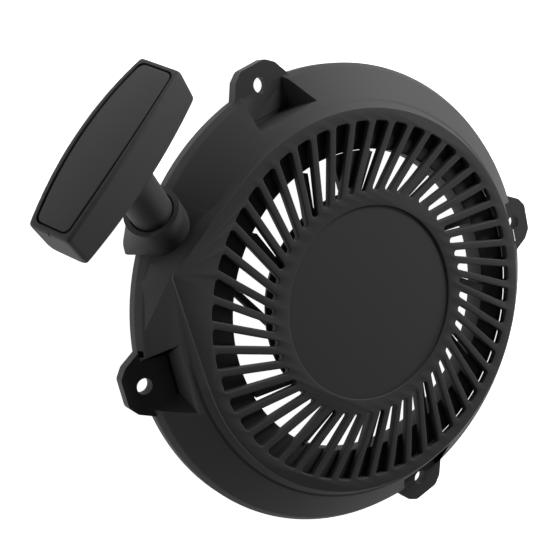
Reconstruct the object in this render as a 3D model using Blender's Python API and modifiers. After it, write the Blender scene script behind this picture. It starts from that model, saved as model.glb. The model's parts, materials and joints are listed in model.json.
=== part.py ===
"""Recoil starter of a small engine: slotted fan cover, rope reel, pawls and a T handle.

The starter's axis is Z and its slotted face looks up. Z = 0 is the plane that bolts to the
blower housing, so the undersides of the four ears and of the rim lie on it. The rope leaves
towards -X, rising out of its collar. All sizes below are in millimetres and degrees.
"""
import math

import bmesh
import bpy
from mathutils import Matrix, Vector

MM = 0.001
MERGE = 0.00002  # metres, for modifiers and clean-ups that weld points
SPARE = 2.0  # what is joined or cut runs on by this much, so that no two faces coincide
GAP = 0.3  # between pieces that touch, or where one piece is cut by its neighbour
ROUND = 72  # steps in a large turned shape
SMALL_ROUND = 28

# Cover
FACE_Z = 24.0
FACE_R = 81.5
FACE_PLATE = 3.0
RIM_R = 100.0
RIM_LIP = 4.0
WALL = 2.6
STEP_Z = FACE_Z - 4.5  # foot of the short steep step round the face
STEP_R = 85.0
SHOULDER_R = 98.2
SHOULDER_Z = 7.4
GRILLE_R = 78.7
RECESS_R = 41.2
RECESS_DEPTH = 0.8

# Slots between straight bars, all tangent to one small circle
SLOTS = 48
SLOT_IN_R = 47.6
SLOT_OUT_R = 76.2
BAR = 3.1
SWIRL_R = 21.0
SLOT_PHASE = 5.5

# Inner duct and its ribs
DUCT_R = 64.4
DUCT_WALL = 2.2
DUCT_BOTTOM = 9.0
DUCT_STEP_Z = 13.0  # the inlet widens a little below this
DUCT_LEDGE_Z = FACE_Z - FACE_PLATE - 1.2
DUCT_EDGE = 77.3
LEDGE = 2.0
RIBS = 12
RIB_WIDTH = 3.0
WEB_RIB = 3  # a flat web fills the corner beside this rib
WEB_ANGLE = 131.5
WEB_IN_R = 50.0
WEB_THICK = 2.4
MISSING_RIB = 6  # the rope runs where this rib would stand

# Ears
EAR_ANGLES = (40.0, 140.0, 220.0, 320.0)
EAR_R = 100.0
EAR_THICK = 5.0
EAR_PAD = 0.5  # the ear stands this far above its pocket's floor
EAR_HOLE_R = 3.3
EAR_REACH = 8.6
EAR_HALF = 14.0
POCKET_IN_R = 86.5
POCKET_TOP_HALF = 20.0

# Rope, its collar and its handle
PULL_AZIMUTH = 162.0
PULL_RISE = 34.0
WING_AZIMUTH = 223.2  # the face's second straight side, next to the collar
ROPE_D = 3.5
ROPE_OFFSET = 33.5  # of the rope's line from the starter's axis
ROPE_WINDOW = 11.0  # width of the gap in the duct ring that the rope runs through
MOUTH_ALONG = 100.8  # of the collar's mouth along the rope's line
MOUTH_Z = 15.5
COLLAR_R = 11.0
COLLAR_WALL = 2.1
COLLAR_DEPTH = 6.6
FOOT_R = 104.3
FOOT_AZIMUTH = 190.3
GUIDE_FLANGE_R = 7.0
HANDLE_GAP = 27.6  # mouth to the bar of the handle
HANDLE_LENGTH = 72.0
HANDLE_WIDTH = 22.8  # at the middle of the bar
HANDLE_BARREL = 2.7  # less on each side at its ends
HANDLE_DEPTH = 21.0
HANDLE_ROLL = 6.3
HANDLE_EDGE = 1.2
HANDLE_GRIP_EDGE = 3.0  # on the fingers' side
NECK_R = 8.3
FLARE_LONG = 10.0  # the neck widens by this much along the bar
FLARE_WIDE = 1.2
FLARE_HEIGHT = 9.0
NECK_ENTRY = 5.0  # how far the neck sits in the collar
COVER_BORDER = 2.2
COVER_THICK = 2.2
CHAMBER_LENGTH = 26.0
CHAMBER_DEPTH = 11.0
CROWN = 3.0  # of the bar's outer face, along its length
BAR_STEPS = 12
COVER_SUNK = 0.2
KNOT_WASHER = 0.8
KNOT_R = 3.6

# Reel and what turns on it, from the top down
REEL_TOP = 15.2
REEL_BOTTOM = 5.2
REEL_FLANGE = 1.4
REEL_R = 47.0
REEL_LOW_R = 42.0  # of the flange on the engine's side
CORE_R = 27.5
CORE_WALL = 2.2
RECESS_ROOF = 9.6
REEL_BORE = 8.5
REEL_HUB_R = 10.5
REEL_KNOT_AT = 21.5  # radius at which the rope's inner knot sits
REEL_KNOT_ANGLE = 312.0
REEL_KNOT_SQUASH = 0.52
ROPE_TURNS_HIGH = 2
ROPE_LAYERS = 3
POST_R = 6.5
POST_BOTTOM = 3.0
CUP_R = 30.0
CUP_WALL = 2.0
CUP_BASE_Z = FACE_Z - FACE_PLATE - 1.3
SPRING_TURNS = 6
SPRING_STRIP = 0.6
SPRING_HEIGHT = 3.6

# Pawls and their guide
PAWLS = 2
PAWL_PIVOT_R = 17.0
PAWL_THICK = 2.6
PAWL_Z = 5.4
PAWL_EYE_R = 3.4
PAWL_LENGTH = 13.0
PIN_R = 1.6
GUIDE_Z = 3.9
GUIDE_THICK = 1.2
GUIDE_R = 15.5
GUIDE_TURN = 20.0
PAWL_TURN = 24.0
WASHER_Z = 2.0
WASHER_THICK = 0.7
SCREW_HEAD = 1.7
SCREW_HEAD_R = 6.5
SCREW_R = 2.8
INSERT_R = 4.3

PARTS = "recoil_starter"
CUTTERS = "cutters"


# ---------------------------------------------------------------- helpers

def collection(name):
    made = bpy.data.collections.new(name)
    bpy.context.scene.collection.children.link(made)
    return made


def material(name, colour, roughness, metallic=0.0):
    made = bpy.data.materials.new(name)
    made.use_nodes = True
    shader = made.node_tree.nodes["Principled BSDF"]
    shader.inputs["Base Color"].default_value = (*colour, 1.0)
    shader.inputs["Roughness"].default_value = roughness
    shader.inputs["Metallic"].default_value = metallic
    return made


def polar(radius, degrees, z=0.0):
    angle = math.radians(degrees)
    return Vector((radius * math.cos(angle), radius * math.sin(angle), z))


def link(name, mesh, where, finish=None):
    made = bpy.data.objects.new(name, mesh)
    bpy.data.collections[where].objects.link(made)
    if finish:
        mesh.materials.append(finish)
    return made


def to_mesh(name, bm):
    """A mesh in metres from a bmesh in millimetres."""
    bmesh.ops.scale(bm, vec=(MM, MM, MM), verts=bm.verts)
    bmesh.ops.recalc_face_normals(bm, faces=bm.faces)
    mesh = bpy.data.meshes.new(name)
    bm.to_mesh(mesh)
    bm.free()
    return mesh


def smooth(made, degrees=35.0):
    made.data.shade_smooth()
    made.data.set_sharp_from_angle(angle=math.radians(degrees))
    return made


def piece(name, bm, finish):
    return smooth(link(name, to_mesh(name, bm), PARTS, finish))


def cutter(name, bm):
    made = link(name, to_mesh(name, bm), CUTTERS)
    made.hide_render = True
    made.display_type = "WIRE"
    return made


def boolean(made, tool, operation="DIFFERENCE"):
    step = made.modifiers.new(f"{operation.lower()}_{tool.name}", "BOOLEAN")
    step.operation = operation
    step.object = tool
    return made


def cut(made, name, bm):
    return boolean(made, cutter(name, bm))


def fuse(made, name, bm):
    return boolean(made, cutter(name, bm), "UNION")


def turned(name, profile, finish=None, steps=ROUND, ring=True):
    """A turned shape from (radius, z) points: down the outside, then up the inside."""
    bm = bmesh.new()
    points = [bm.verts.new((r * MM, 0.0, z * MM)) for r, z in profile]
    for a, b in zip(points, points[1:]):
        bm.edges.new((a, b))
    if ring:
        bm.edges.new((points[-1], points[0]))
    mesh = bpy.data.meshes.new(name)
    bm.to_mesh(mesh)
    bm.free()
    made = link(name, mesh, PARTS if finish else CUTTERS, finish)
    if not finish:
        made.hide_render = True
        made.display_type = "WIRE"
    screw = made.modifiers.new("turn", "SCREW")
    screw.steps = steps
    screw.render_steps = steps
    screw.use_merge_vertices = True
    screw.merge_threshold = MERGE
    screw.use_smooth_shade = True
    return made


def tube(bm, radius, low, high, steps=SMALL_ROUND, end_radius=None, matrix=None):
    """Adds a cylinder or cone along Z from low to high, moved by matrix."""
    end = radius if end_radius is None else end_radius
    place = Matrix.Translation((0.0, 0.0, (low + high) / 2))
    if matrix:
        place = matrix @ place
    return bmesh.ops.create_cone(
        bm, cap_ends=True, segments=steps, radius1=radius, radius2=end,
        depth=high - low, matrix=place)["verts"]


def cylinder(radius, low, high, steps=SMALL_ROUND, end_radius=None, matrix=None):
    bm = bmesh.new()
    tube(bm, radius, low, high, steps, end_radius, matrix)
    return bm


def box(size, centre, matrix=None):
    bm = bmesh.new()
    place = Matrix.Translation(centre) @ Matrix.Diagonal((*size, 1.0))
    if matrix:
        place = matrix @ place
    bmesh.ops.create_cube(bm, size=1.0, matrix=place)
    return bm


def hull(points):
    """The convex solid round a set of points."""
    bm = bmesh.new()
    for point in points:
        bm.verts.new(point)
    found = bmesh.ops.convex_hull(bm, input=bm.verts)
    spare = [v for v in found["geom_interior"] if isinstance(v, bmesh.types.BMVert)]
    bmesh.ops.delete(bm, geom=spare, context="VERTS")
    bmesh.ops.dissolve_limit(bm, angle_limit=0.01, verts=bm.verts, edges=bm.edges)
    return bm


def circle(radius, centre=(0.0, 0.0), steps=SMALL_ROUND):
    turn = 2 * math.pi / steps
    return [Vector((centre[0] + radius * math.cos(turn * i), centre[1] + radius * math.sin(turn * i)))
            for i in range(steps)]


def rounded(corners, radii, steps):
    """An outline with an arc of its own radius and number of steps at each corner."""
    made = []
    count = len(corners)
    for i, (corner, radius, count_here) in enumerate(zip(corners, radii, steps)):
        before = (corners[i - 1] - corner).normalized()
        after = (corners[(i + 1) % count] - corner).normalized()
        half = before.angle(after) / 2
        middle = corner + (before + after).normalized() * (radius / math.sin(half))
        start = corner + before * (radius / math.tan(half)) - middle
        end = corner + after * (radius / math.tan(half)) - middle
        sweep = start.angle_signed(end)
        for s in range(count_here + 1):
            turn = Matrix.Rotation(-sweep * s / count_here, 2)
            made.append(middle + turn @ start)
    return made


def plate(name, outlines, low, high, finish=None, matrix=None):
    """A flat piece from 2D outlines, holes included, between two heights."""
    shape = bpy.data.curves.new(name, "CURVE")
    shape.dimensions = "2D"
    shape.fill_mode = "BOTH"
    shape.extrude = (high - low) / 2 * MM
    for outline in outlines:
        spline = shape.splines.new("POLY")
        spline.points.add(len(outline) - 1)
        for point, at in zip(spline.points, outline):
            point.co = (at[0] * MM, at[1] * MM, 0.0, 1.0)
        spline.use_cyclic_u = True
    drawn = link(name + "_outline", shape, CUTTERS)
    bpy.context.view_layer.update()
    solid = drawn.evaluated_get(bpy.context.evaluated_depsgraph_get())
    mesh = bpy.data.meshes.new_from_object(solid)
    bpy.data.objects.remove(drawn)
    bm = bmesh.new()
    bm.from_mesh(mesh)
    bmesh.ops.remove_doubles(bm, verts=bm.verts, dist=MERGE)
    bmesh.ops.translate(bm, vec=(0.0, 0.0, (low + high) / 2 * MM), verts=bm.verts)
    if matrix:
        move = matrix.copy()
        move.translation = matrix.translation * MM
        bmesh.ops.transform(bm, matrix=move, verts=bm.verts)
    bmesh.ops.recalc_face_normals(bm, faces=bm.faces)
    bm.to_mesh(mesh)
    bm.free()
    mesh.name = name
    made = link(name, mesh, PARTS if finish else CUTTERS, finish)
    if finish:
        return smooth(made)
    made.hide_render = True
    made.display_type = "WIRE"
    return made


def frame_at(origin, z_axis, x_hint):
    """A matrix whose Z follows z_axis and whose X leans towards x_hint."""
    z = Vector(z_axis).normalized()
    x = (Vector(x_hint) - z * z.dot(Vector(x_hint))).normalized()
    made = Matrix((x, z.cross(x), z)).transposed().to_4x4()
    made.translation = origin
    return made


def turned_about_z(degrees):
    return Matrix.Rotation(math.radians(degrees), 4, "Z")


# ---------------------------------------------------------------- shared places

def rope_places():
    """Where the rope leaves the reel, bends and meets the handle, and its directions."""
    out = polar(1.0, PULL_AZIMUTH)
    side = polar(1.0, PULL_AZIMUTH + 90.0)
    rise = math.radians(PULL_RISE)
    pull = out * math.cos(rise) + Vector((0.0, 0.0, math.sin(rise)))
    mouth = side * ROPE_OFFSET + out * MOUTH_ALONG + Vector((0.0, 0.0, MOUTH_Z))
    groove = (REEL_TOP + REEL_BOTTOM) / 2
    bend = mouth - pull * ((MOUTH_Z - groove) / math.sin(rise))
    leave = side * ROPE_OFFSET + Vector((0.0, 0.0, groove))
    along = Vector((0.0, 0.0, 1.0)).cross(pull).normalized()
    along = Matrix.Rotation(math.radians(HANDLE_ROLL), 3, pull) @ along
    return {"out": out, "pull": pull, "mouth": mouth, "bend": bend, "leave": leave, "along": along}


def bar_frame(angle):
    """Along a grille bar or a rib: X outwards, on the line that touches the swirl circle."""
    return turned_about_z(angle) @ Matrix.Translation((0.0, SWIRL_R, 0.0))


def face_corner():
    """The corner where the face's two straight sides, both tangent to its circle, meet."""
    half = math.radians(WING_AZIMUTH - PULL_AZIMUTH) / 2
    return FACE_R / math.cos(half), (WING_AZIMUTH + PULL_AZIMUTH) / 2


# ---------------------------------------------------------------- cover

def slot_outline(index):
    """One slot: the space between two bars, round at its inner end."""
    pitch = 360.0 / SLOTS
    middle = SLOT_PHASE + index * pitch

    def on_bar(angle, side, radius):
        offset = SWIRL_R + side * BAR / 2
        along = math.sqrt(radius ** 2 - offset ** 2)
        return (turned_about_z(angle) @ Vector((along, offset, 0.0))).to_2d()

    low, high = middle - pitch / 2, middle + pitch / 2
    corners = [on_bar(low, 1, SLOT_IN_R), on_bar(low, 1, SLOT_OUT_R),
               on_bar(high, -1, SLOT_OUT_R), on_bar(high, -1, SLOT_IN_R)]
    inner = (corners[0] - corners[3]).length * 0.46
    return rounded(corners, (inner, 1.2, 1.2, inner), (3, 1, 1, 3))


def make_grille(finish):
    holes = [slot_outline(i) for i in range(SLOTS)]
    rim = circle(GRILLE_R, steps=ROUND)
    made = plate("face_grille", [rim, *holes], FACE_Z - FACE_PLATE, FACE_Z, finish)
    cut(made, "face_recess", cylinder(RECESS_R, FACE_Z - RECESS_DEPTH, FACE_Z + 1, ROUND))
    return made


def cover_profile(inset):
    """The cover's outer profile, or the one a wall further in, from the face down."""
    slope = inset * 0.5
    return [(FACE_R - 0.7 - inset, FACE_Z - inset),
            (FACE_R + 0.6 - inset, FACE_Z - 1.2 - inset),
            (STEP_R - 0.9 - inset, STEP_Z + 0.4 - slope),
            (STEP_R - inset * 0.6, STEP_Z - inset),
            (SHOULDER_R - inset, SHOULDER_Z - slope),
            (RIM_R - inset, RIM_LIP - inset * 0.2),
            (RIM_R - inset, -SPARE - inset)]


def wing_solid(inset):
    """The flank under the corner of the face, beside the rope collar."""
    radius, angle = face_corner()
    top = FACE_Z - inset
    low = -SPARE - 1.0 - inset
    points = []
    for r, a in ((FACE_R, PULL_AZIMUTH), (radius, angle), (FACE_R, WING_AZIMUTH)):
        points.append(polar(r - inset * 1.2, a, top))
    for r, a in ((GRILLE_R - 8, PULL_AZIMUTH + 6), (GRILLE_R - 8, WING_AZIMUTH - 6)):
        points += [polar(r, a, top), polar(r, a, low)]
    for r, a, z in ((STEP_R, PULL_AZIMUTH, STEP_Z - 4), (STEP_R, WING_AZIMUTH, STEP_Z - 3),
                    (RIM_R - 2.5, angle - 2, 6.0), (RIM_R - 0.8, angle + 4, 4.0),
                    (RIM_R - 0.8, angle + 18, 4.0)):
        points += [polar(r - inset * 1.2, a, z - inset * 0.4), polar(r - inset * 1.2, a, low)]
    return hull(points)


def collar_foot():
    """The solid below the collar that carries it down to the mounting plane."""
    place = rope_places()
    frame = frame_at(place["mouth"], place["pull"], (0.0, 0.0, 1.0))
    points = [polar(FOOT_R, FOOT_AZIMUTH, 2.5), polar(FOOT_R, FOOT_AZIMUTH, -SPARE * 2)]
    for depth in (-2.5, -16.0):
        for spot in circle(COLLAR_R - 0.4, steps=20):
            at = frame @ Vector((spot.x, spot.y, depth))
            reach = min(1.0, FOOT_R / math.hypot(at.x, at.y))
            points += [at, Vector((at.x * reach, at.y * reach, -SPARE * 2))]
    return hull(points)


def ear_outline():
    half = EAR_HALF
    return [Vector(p) for p in ((half, -1.5), (half - 4, EAR_REACH - 3), (half - 8, EAR_REACH),
                                (8 - half, EAR_REACH), (4 - half, EAR_REACH - 3), (-half, -1.5),
                                (-half + 1, -12.0), (half - 1, -12.0))]


def ear_frame(angle):
    """At an ear's hole: Y outwards."""
    return turned_about_z(angle - 90.0) @ Matrix.Translation((0.0, EAR_R, 0.0))


def pocket_solid(grow=0.0):
    """The tool pocket over an ear: narrow at the ear, wide at the shoulder."""
    low = EAR_THICK - EAR_PAD - grow
    inner = POCKET_IN_R - EAR_R - grow
    top = FACE_Z + 4
    points = [(x * (EAR_HALF - 5.5 + grow), y, low) for x in (-1, 1) for y in (inner, 30.0)]
    points += [(x * (POCKET_TOP_HALF + grow), y, top) for x in (-1, 1) for y in (inner - 0.5, 30.0)]
    points += [(x * (EAR_HALF + grow), 30.0, low) for x in (-1, 1)]
    return points


def make_shell(finish):
    """The outer shell: step, shoulder, rim, ears, collar and the corner of the face."""
    place = rope_places()
    outer = cover_profile(0.0)
    inner_low = FACE_Z - FACE_PLATE
    hole = GRILLE_R + GAP
    solid = [(hole - 22, FACE_Z)] + outer + [(hole - 22, -SPARE)]
    shell = turned("housing_shell", solid, finish)
    fuse(shell, "wing", wing_solid(0.0))
    for angle in EAR_ANGLES:
        move = ear_frame(angle)
        cut(shell, f"pocket_{angle:.0f}", hull([move @ Vector(p) for p in pocket_solid()]))
    frame = frame_at(place["mouth"], place["pull"], (0.0, 0.0, 1.0))
    fuse(shell, "collar_foot", collar_foot())
    fuse(shell, "collar", cylinder(COLLAR_R, -20.0, 0.0, matrix=frame))
    # Hollow inside, leaving walls round the pockets
    hollow = turned("hollow", [(hole - 30, inner_low), *cover_profile(WALL)[2:-1],
                               (RIM_R - WALL, -4 * SPARE), (hole - 30, -4 * SPARE)])
    fuse(hollow, "wing_hollow", wing_solid(WALL))
    for angle in EAR_ANGLES:
        move = ear_frame(angle)
        cut(hollow, f"pocket_wall_{angle:.0f}", hull([move @ Vector(p) for p in pocket_solid(WALL)]))
    kept = cylinder(COLLAR_R, -20.0, -COLLAR_DEPTH, matrix=frame)
    cut(hollow, "collar_kept", kept)
    boolean(shell, hollow)
    cut(shell, "grille_seat", cylinder(hole, inner_low - 12, FACE_Z + 5, ROUND))
    cut(shell, "collar_bore", cylinder(COLLAR_R - COLLAR_WALL, -COLLAR_DEPTH, 5.0, matrix=frame))
    cut(shell, "collar_hole", cylinder(GUIDE_FLANGE_R - 2.5, -30.0, -COLLAR_DEPTH + 1, 24, matrix=frame))
    back = frame_at(place["bend"], -place["out"], (0.0, 0.0, 1.0))
    cut(shell, "rope_path", cylinder(GUIDE_FLANGE_R - 2.5, -3.0, 40.0, 24, matrix=back))
    for angle in EAR_ANGLES:
        move = ear_frame(angle)
        ear = plate(f"ear_{angle:.0f}", [ear_outline()], -SPARE * 3, EAR_THICK, matrix=move)
        boolean(shell, ear, "UNION")
        cut(shell, f"hole_{angle:.0f}", cylinder(EAR_HOLE_R, -SPARE * 4, EAR_THICK + SPARE, 24, matrix=move))
    cut(shell, "below", box((300.0, 300.0, 40.0), (0.0, 0.0, -20.0)))
    return shell


def make_duct(finish):
    """The ring that the fan's air is drawn through, with the ledge that joins it to the cover."""
    low = DUCT_LEDGE_Z - LEDGE
    out = DUCT_R + DUCT_WALL
    wide = DUCT_R + 0.7
    made = turned("duct_ring", [(DUCT_EDGE, DUCT_LEDGE_Z), (DUCT_EDGE, low), (out, low), (out, DUCT_BOTTOM),
                                (wide, DUCT_BOTTOM), (wide, DUCT_STEP_Z - 0.5), (DUCT_R, DUCT_STEP_Z),
                                (DUCT_R, DUCT_LEDGE_Z)], finish)
    along = math.sqrt(DUCT_R ** 2 - ROPE_OFFSET ** 2)
    height = low - DUCT_BOTTOM
    cut(made, "rope_window", box((16.0, ROPE_WINDOW, height), (along, ROPE_OFFSET, DUCT_BOTTOM + height / 2 - 1),
                                 turned_about_z(PULL_AZIMUTH)))
    return made


def make_ribs(finish):
    """The spider of ribs under the grille, from the spring cup out to the duct."""
    low = REEL_TOP + GAP
    high = FACE_Z - FACE_PLATE - GAP
    inside = CUP_R + CUP_WALL + GAP
    made = turned("face_ribs", [(inside + 2.2, high), (inside + 2.2, low), (inside, low), (inside, high)],
                  finish)
    for index in range(RIBS):
        if index == MISSING_RIB:
            continue
        start = math.sqrt((inside + 1.0) ** 2 - SWIRL_R ** 2)
        end = math.sqrt((DUCT_R - 2 * GAP) ** 2 - (SWIRL_R + RIB_WIDTH / 2) ** 2)
        angle = SLOT_PHASE + index * 360.0 / RIBS
        fuse(made, f"rib_{index}", box((end - start, RIB_WIDTH, high - low),
                                       ((start + end) / 2, 0.0, (low + high) / 2), bar_frame(angle)))
    out = DUCT_R - 2 * GAP
    rib = SLOT_PHASE + WEB_RIB * 360.0 / RIBS
    corners = [(r, rib + math.degrees(math.asin(SWIRL_R / r))) for r in (WEB_IN_R, out)]
    corners += [(out, (corners[1][1] + WEB_ANGLE) / 2), (out, WEB_ANGLE), (WEB_IN_R, WEB_ANGLE)]
    fuse(made, "web", hull([polar(r, a, z) for r, a in corners for z in (high - WEB_THICK, high - 0.05)]))
    return made


def make_cup(finish):
    """The cup that holds the mainspring, with the post that everything turns on."""
    high = FACE_Z - FACE_PLATE - GAP
    out = CUP_R + CUP_WALL
    low = REEL_TOP + GAP
    made = turned("spring_cup", [(0.0, high), (out, high), (out, low), (CUP_R, low), (CUP_R, CUP_BASE_Z),
                                 (POST_R, CUP_BASE_Z), (POST_R, POST_BOTTOM), (0.0, POST_BOTTOM)],
                  finish, ROUND, ring=False)
    cut(made, "insert_seat", cylinder(INSERT_R + GAP, POST_BOTTOM - 1, 15.0))
    return made


# ---------------------------------------------------------------- reel and spring

def reel_knot_spot():
    """The middle of the rope's inner knot, just under the reel's top face."""
    return polar(REEL_KNOT_AT, REEL_KNOT_ANGLE, REEL_TOP - GAP - KNOT_R * REEL_KNOT_SQUASH)


def make_reel(finish):
    """The rope reel: a groove outside, the spring's hub on top, the pawls' recess below."""
    groove_low = REEL_BOTTOM + REEL_FLANGE
    groove_high = REEL_TOP - REEL_FLANGE
    recess = CORE_R - CORE_WALL
    hub_top = CUP_BASE_Z - GAP
    reel = turned("reel", [(REEL_HUB_R, hub_top), (REEL_HUB_R, REEL_TOP), (REEL_R, REEL_TOP),
                           (REEL_R, groove_high), (CORE_R, groove_high), (CORE_R, groove_low),
                           (REEL_LOW_R, groove_low), (REEL_LOW_R, REEL_BOTTOM), (recess, REEL_BOTTOM),
                           (recess, RECESS_ROOF), (REEL_HUB_R, RECESS_ROOF), (REEL_HUB_R, PAWL_Z),
                           (REEL_BORE, PAWL_Z), (REEL_BORE, hub_top)], finish)
    for index in range(PAWLS):
        spot = polar(PAWL_PIVOT_R, index * 360.0 / PAWLS)
        place = Matrix.Translation((spot.x, spot.y, 0.0))
        cut(reel, f"pin_seat_{index}", cylinder(PIN_R + GAP, RECESS_ROOF - 1, RECESS_ROOF + 3, 20,
                                                matrix=place))
    knot = reel_knot_spot()
    cut(reel, "knot_pocket", cylinder(KNOT_R + GAP, knot.z - KNOT_R * REEL_KNOT_SQUASH - GAP, REEL_TOP + 1, 24,
                                      matrix=Matrix.Translation((knot.x, knot.y, 0.0))))
    way = frame_at(knot, polar(1.0, REEL_KNOT_ANGLE), (0.0, 0.0, 1.0))
    cut(reel, "rope_hole", cylinder(ROPE_D / 2, 0.0, CORE_R - REEL_KNOT_AT + 2, 16, matrix=way))
    slot = box((5.0, 1.4, hub_top - REEL_TOP + 1), (REEL_HUB_R, 0.0, (hub_top + REEL_TOP) / 2 + 0.8),
               turned_about_z(15.0))
    cut(reel, "hook_slot", slot)
    return reel


def make_knot(finish):
    """The stopper knot that holds the rope's inner end in the reel."""
    bm = bmesh.new()
    squash = Matrix.Diagonal((1.0, 1.0, REEL_KNOT_SQUASH, 1.0))
    bmesh.ops.create_uvsphere(bm, u_segments=20, v_segments=10, radius=KNOT_R,
                              matrix=Matrix.Translation(reel_knot_spot()) @ squash)
    return piece("rope_knot_reel", bm, finish)


def wound_radius():
    """The outside of the rope wound on the reel; each layer nests in the one below."""
    return CORE_R + ROPE_D * (1 + 0.866 * (ROPE_LAYERS - 1)) - GAP


def make_wound_rope(finish):
    """The rope wound on the reel: rings of turns side by side, as one turned solid."""
    groove_low = REEL_BOTTOM + REEL_FLANGE + GAP / 2
    groove_high = REEL_TOP - REEL_FLANGE - GAP / 2
    middle = (groove_low + groove_high) / 2
    outside = wound_radius()
    radius = (groove_high - groove_low) / 2 / ROPE_TURNS_HIGH - 0.02
    profile = []
    for turn in range(ROPE_TURNS_HIGH):
        centre = groove_high - 0.02 - radius * (2 * turn + 1)
        for step in range(5):
            angle = math.radians(80 - 40 * step)
            profile.append((outside - radius + radius * math.cos(angle), centre + radius * math.sin(angle)))
    profile += [(CORE_R + GAP, groove_low + 0.3), (CORE_R + GAP, middle), (CORE_R + GAP, groove_high - 0.3)]
    return turned("rope_wound", profile, finish, 72)


def make_mainspring(finish):
    """The flat spiral spring between the cup's wall and the reel's hub."""
    steps = 22
    inner = REEL_HUB_R + SPRING_STRIP
    outer = CUP_R - SPRING_STRIP
    low = REEL_TOP + GAP
    bm = bmesh.new()
    before = None
    total = steps * SPRING_TURNS
    for i in range(total + 1):
        share = i / total
        spot = polar(inner + (outer - inner) * share ** 0.8, 15.0 + 360.0 * i / steps)
        pair = [bm.verts.new((spot.x * MM, spot.y * MM, z * MM)) for z in (low, low + SPRING_HEIGHT)]
        if before:
            bm.faces.new((before[0], pair[0], pair[1], before[1]))
        before = pair
    mesh = bpy.data.meshes.new("mainspring")
    bm.to_mesh(mesh)
    bm.free()
    made = smooth(link("mainspring", mesh, PARTS, finish))
    strip = made.modifiers.new("strip", "SOLIDIFY")
    strip.thickness = SPRING_STRIP * MM
    strip.offset = 0.0
    return made


def make_bush(finish):
    low = PAWL_Z + GAP
    high = CUP_BASE_Z - GAP
    out = REEL_BORE - GAP
    return turned("reel_bush", [(out, high), (out, low), (POST_R + GAP, low), (POST_R + GAP, high)], finish,
                  SMALL_ROUND)


# ---------------------------------------------------------------- pawls and guide

def pawl_frame(index):
    """At a pawl's pin: X outwards from the starter's axis."""
    return turned_about_z(index * 360.0 / PAWLS) @ Matrix.Translation((PAWL_PIVOT_R, 0.0, 0.0))


def peg_spot():
    """The pawl's peg, from its pin, in the pawl's own frame at rest."""
    return Vector((-1.6, -7.2, 0.0))


def make_pawl(index, finish):
    """A pawl: an eye on its pin and a hooked arm, with a peg for the guide's slot."""
    eye = circle(PAWL_EYE_R, steps=24)
    front = [p for p in eye if p.y >= -1.2]
    front.sort(key=lambda p: math.atan2(p.y, p.x))
    arm = [Vector(p) for p in ((-3.6, -5.0), (-5.0, -9.5), (-5.6, -PAWL_LENGTH), (-3.6, -PAWL_LENGTH + 0.2),
                               (-0.8, -PAWL_LENGTH + 3.2), (1.6, -6.5))]
    frame = pawl_frame(index)
    made = plate(f"pawl_{index + 1}", [front + arm], PAWL_Z, PAWL_Z + PAWL_THICK, finish, frame)
    fuse(made, f"peg_{index}", cylinder(1.1, GUIDE_Z + 0.1, PAWL_Z + 0.5, 16,
                                        matrix=frame @ Matrix.Translation(peg_spot())))
    cut(made, f"pawl_bore_{index}", cylinder(PIN_R + GAP, PAWL_Z - 1, PAWL_Z + PAWL_THICK + 1, 20,
                                             matrix=frame))
    return made


def make_pin(index, finish):
    low = GUIDE_Z + GUIDE_THICK + GAP
    bm = cylinder(PIN_R, low, RECESS_ROOF + 2.6, 20, matrix=pawl_frame(index))
    return piece(f"pawl_pin_{index + 1}", bm, finish)


def make_pawl_spring(index, finish):
    """The small torsion spring on a pawl's pin."""
    wire = 0.35
    turns = 1.6
    steps = 14
    low = PAWL_Z + PAWL_THICK + GAP + wire / 2
    rise = RECESS_ROOF - GAP - wire / 2 - low
    frame = pawl_frame(index)
    shape = bpy.data.curves.new(f"pawl_spring_{index + 1}", "CURVE")
    shape.dimensions = "3D"
    shape.bevel_depth = wire / 2 * MM
    shape.bevel_resolution = 1
    shape.use_fill_caps = True
    spline = shape.splines.new("POLY")
    count = round(turns * steps)
    spots = []
    for i in range(count + 1):
        spot = polar(PIN_R + GAP + wire, 360.0 * i / steps, low + rise * i / count)
        spots.append(spot)
    spots.append(spots[-1] + Vector((-2.4, 2.8, 0.0)))
    spline.points.add(len(spots) - 1)
    for point, spot in zip(spline.points, spots):
        at = (frame @ spot) * MM
        point.co = (*at, 1.0)
    made = link(f"pawl_spring_{index + 1}", shape, PARTS)
    shape.materials.append(finish)
    return made


def make_guide(finish):
    """The pawl guide: a plate that lags the reel and swings the pawls out by slots."""
    made = plate("pawl_guide", [circle(GUIDE_R, steps=64), circle(POST_R + GAP)],
                 GUIDE_Z, GUIDE_Z + GUIDE_THICK, finish)
    steps = 4
    for index in range(PAWLS):
        path = []
        for i in range(steps + 1):
            share = i / steps
            swing = turned_about_z(PAWL_TURN * share)
            lag = turned_about_z(-GUIDE_TURN * share)
            path.append(lag @ pawl_frame(index) @ swing @ peg_spot())
        for i, (a, b) in enumerate(zip(path, path[1:])):
            points = []
            for centre in (a, b):
                for spot in circle(1.1 + GAP, centre, 16):
                    points += [Vector((spot.x, spot.y, z)) for z in (GUIDE_Z - 1, GUIDE_Z + GUIDE_THICK + 1)]
            cut(made, f"guide_slot_{index}_{i}", hull(points))
    return made


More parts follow.
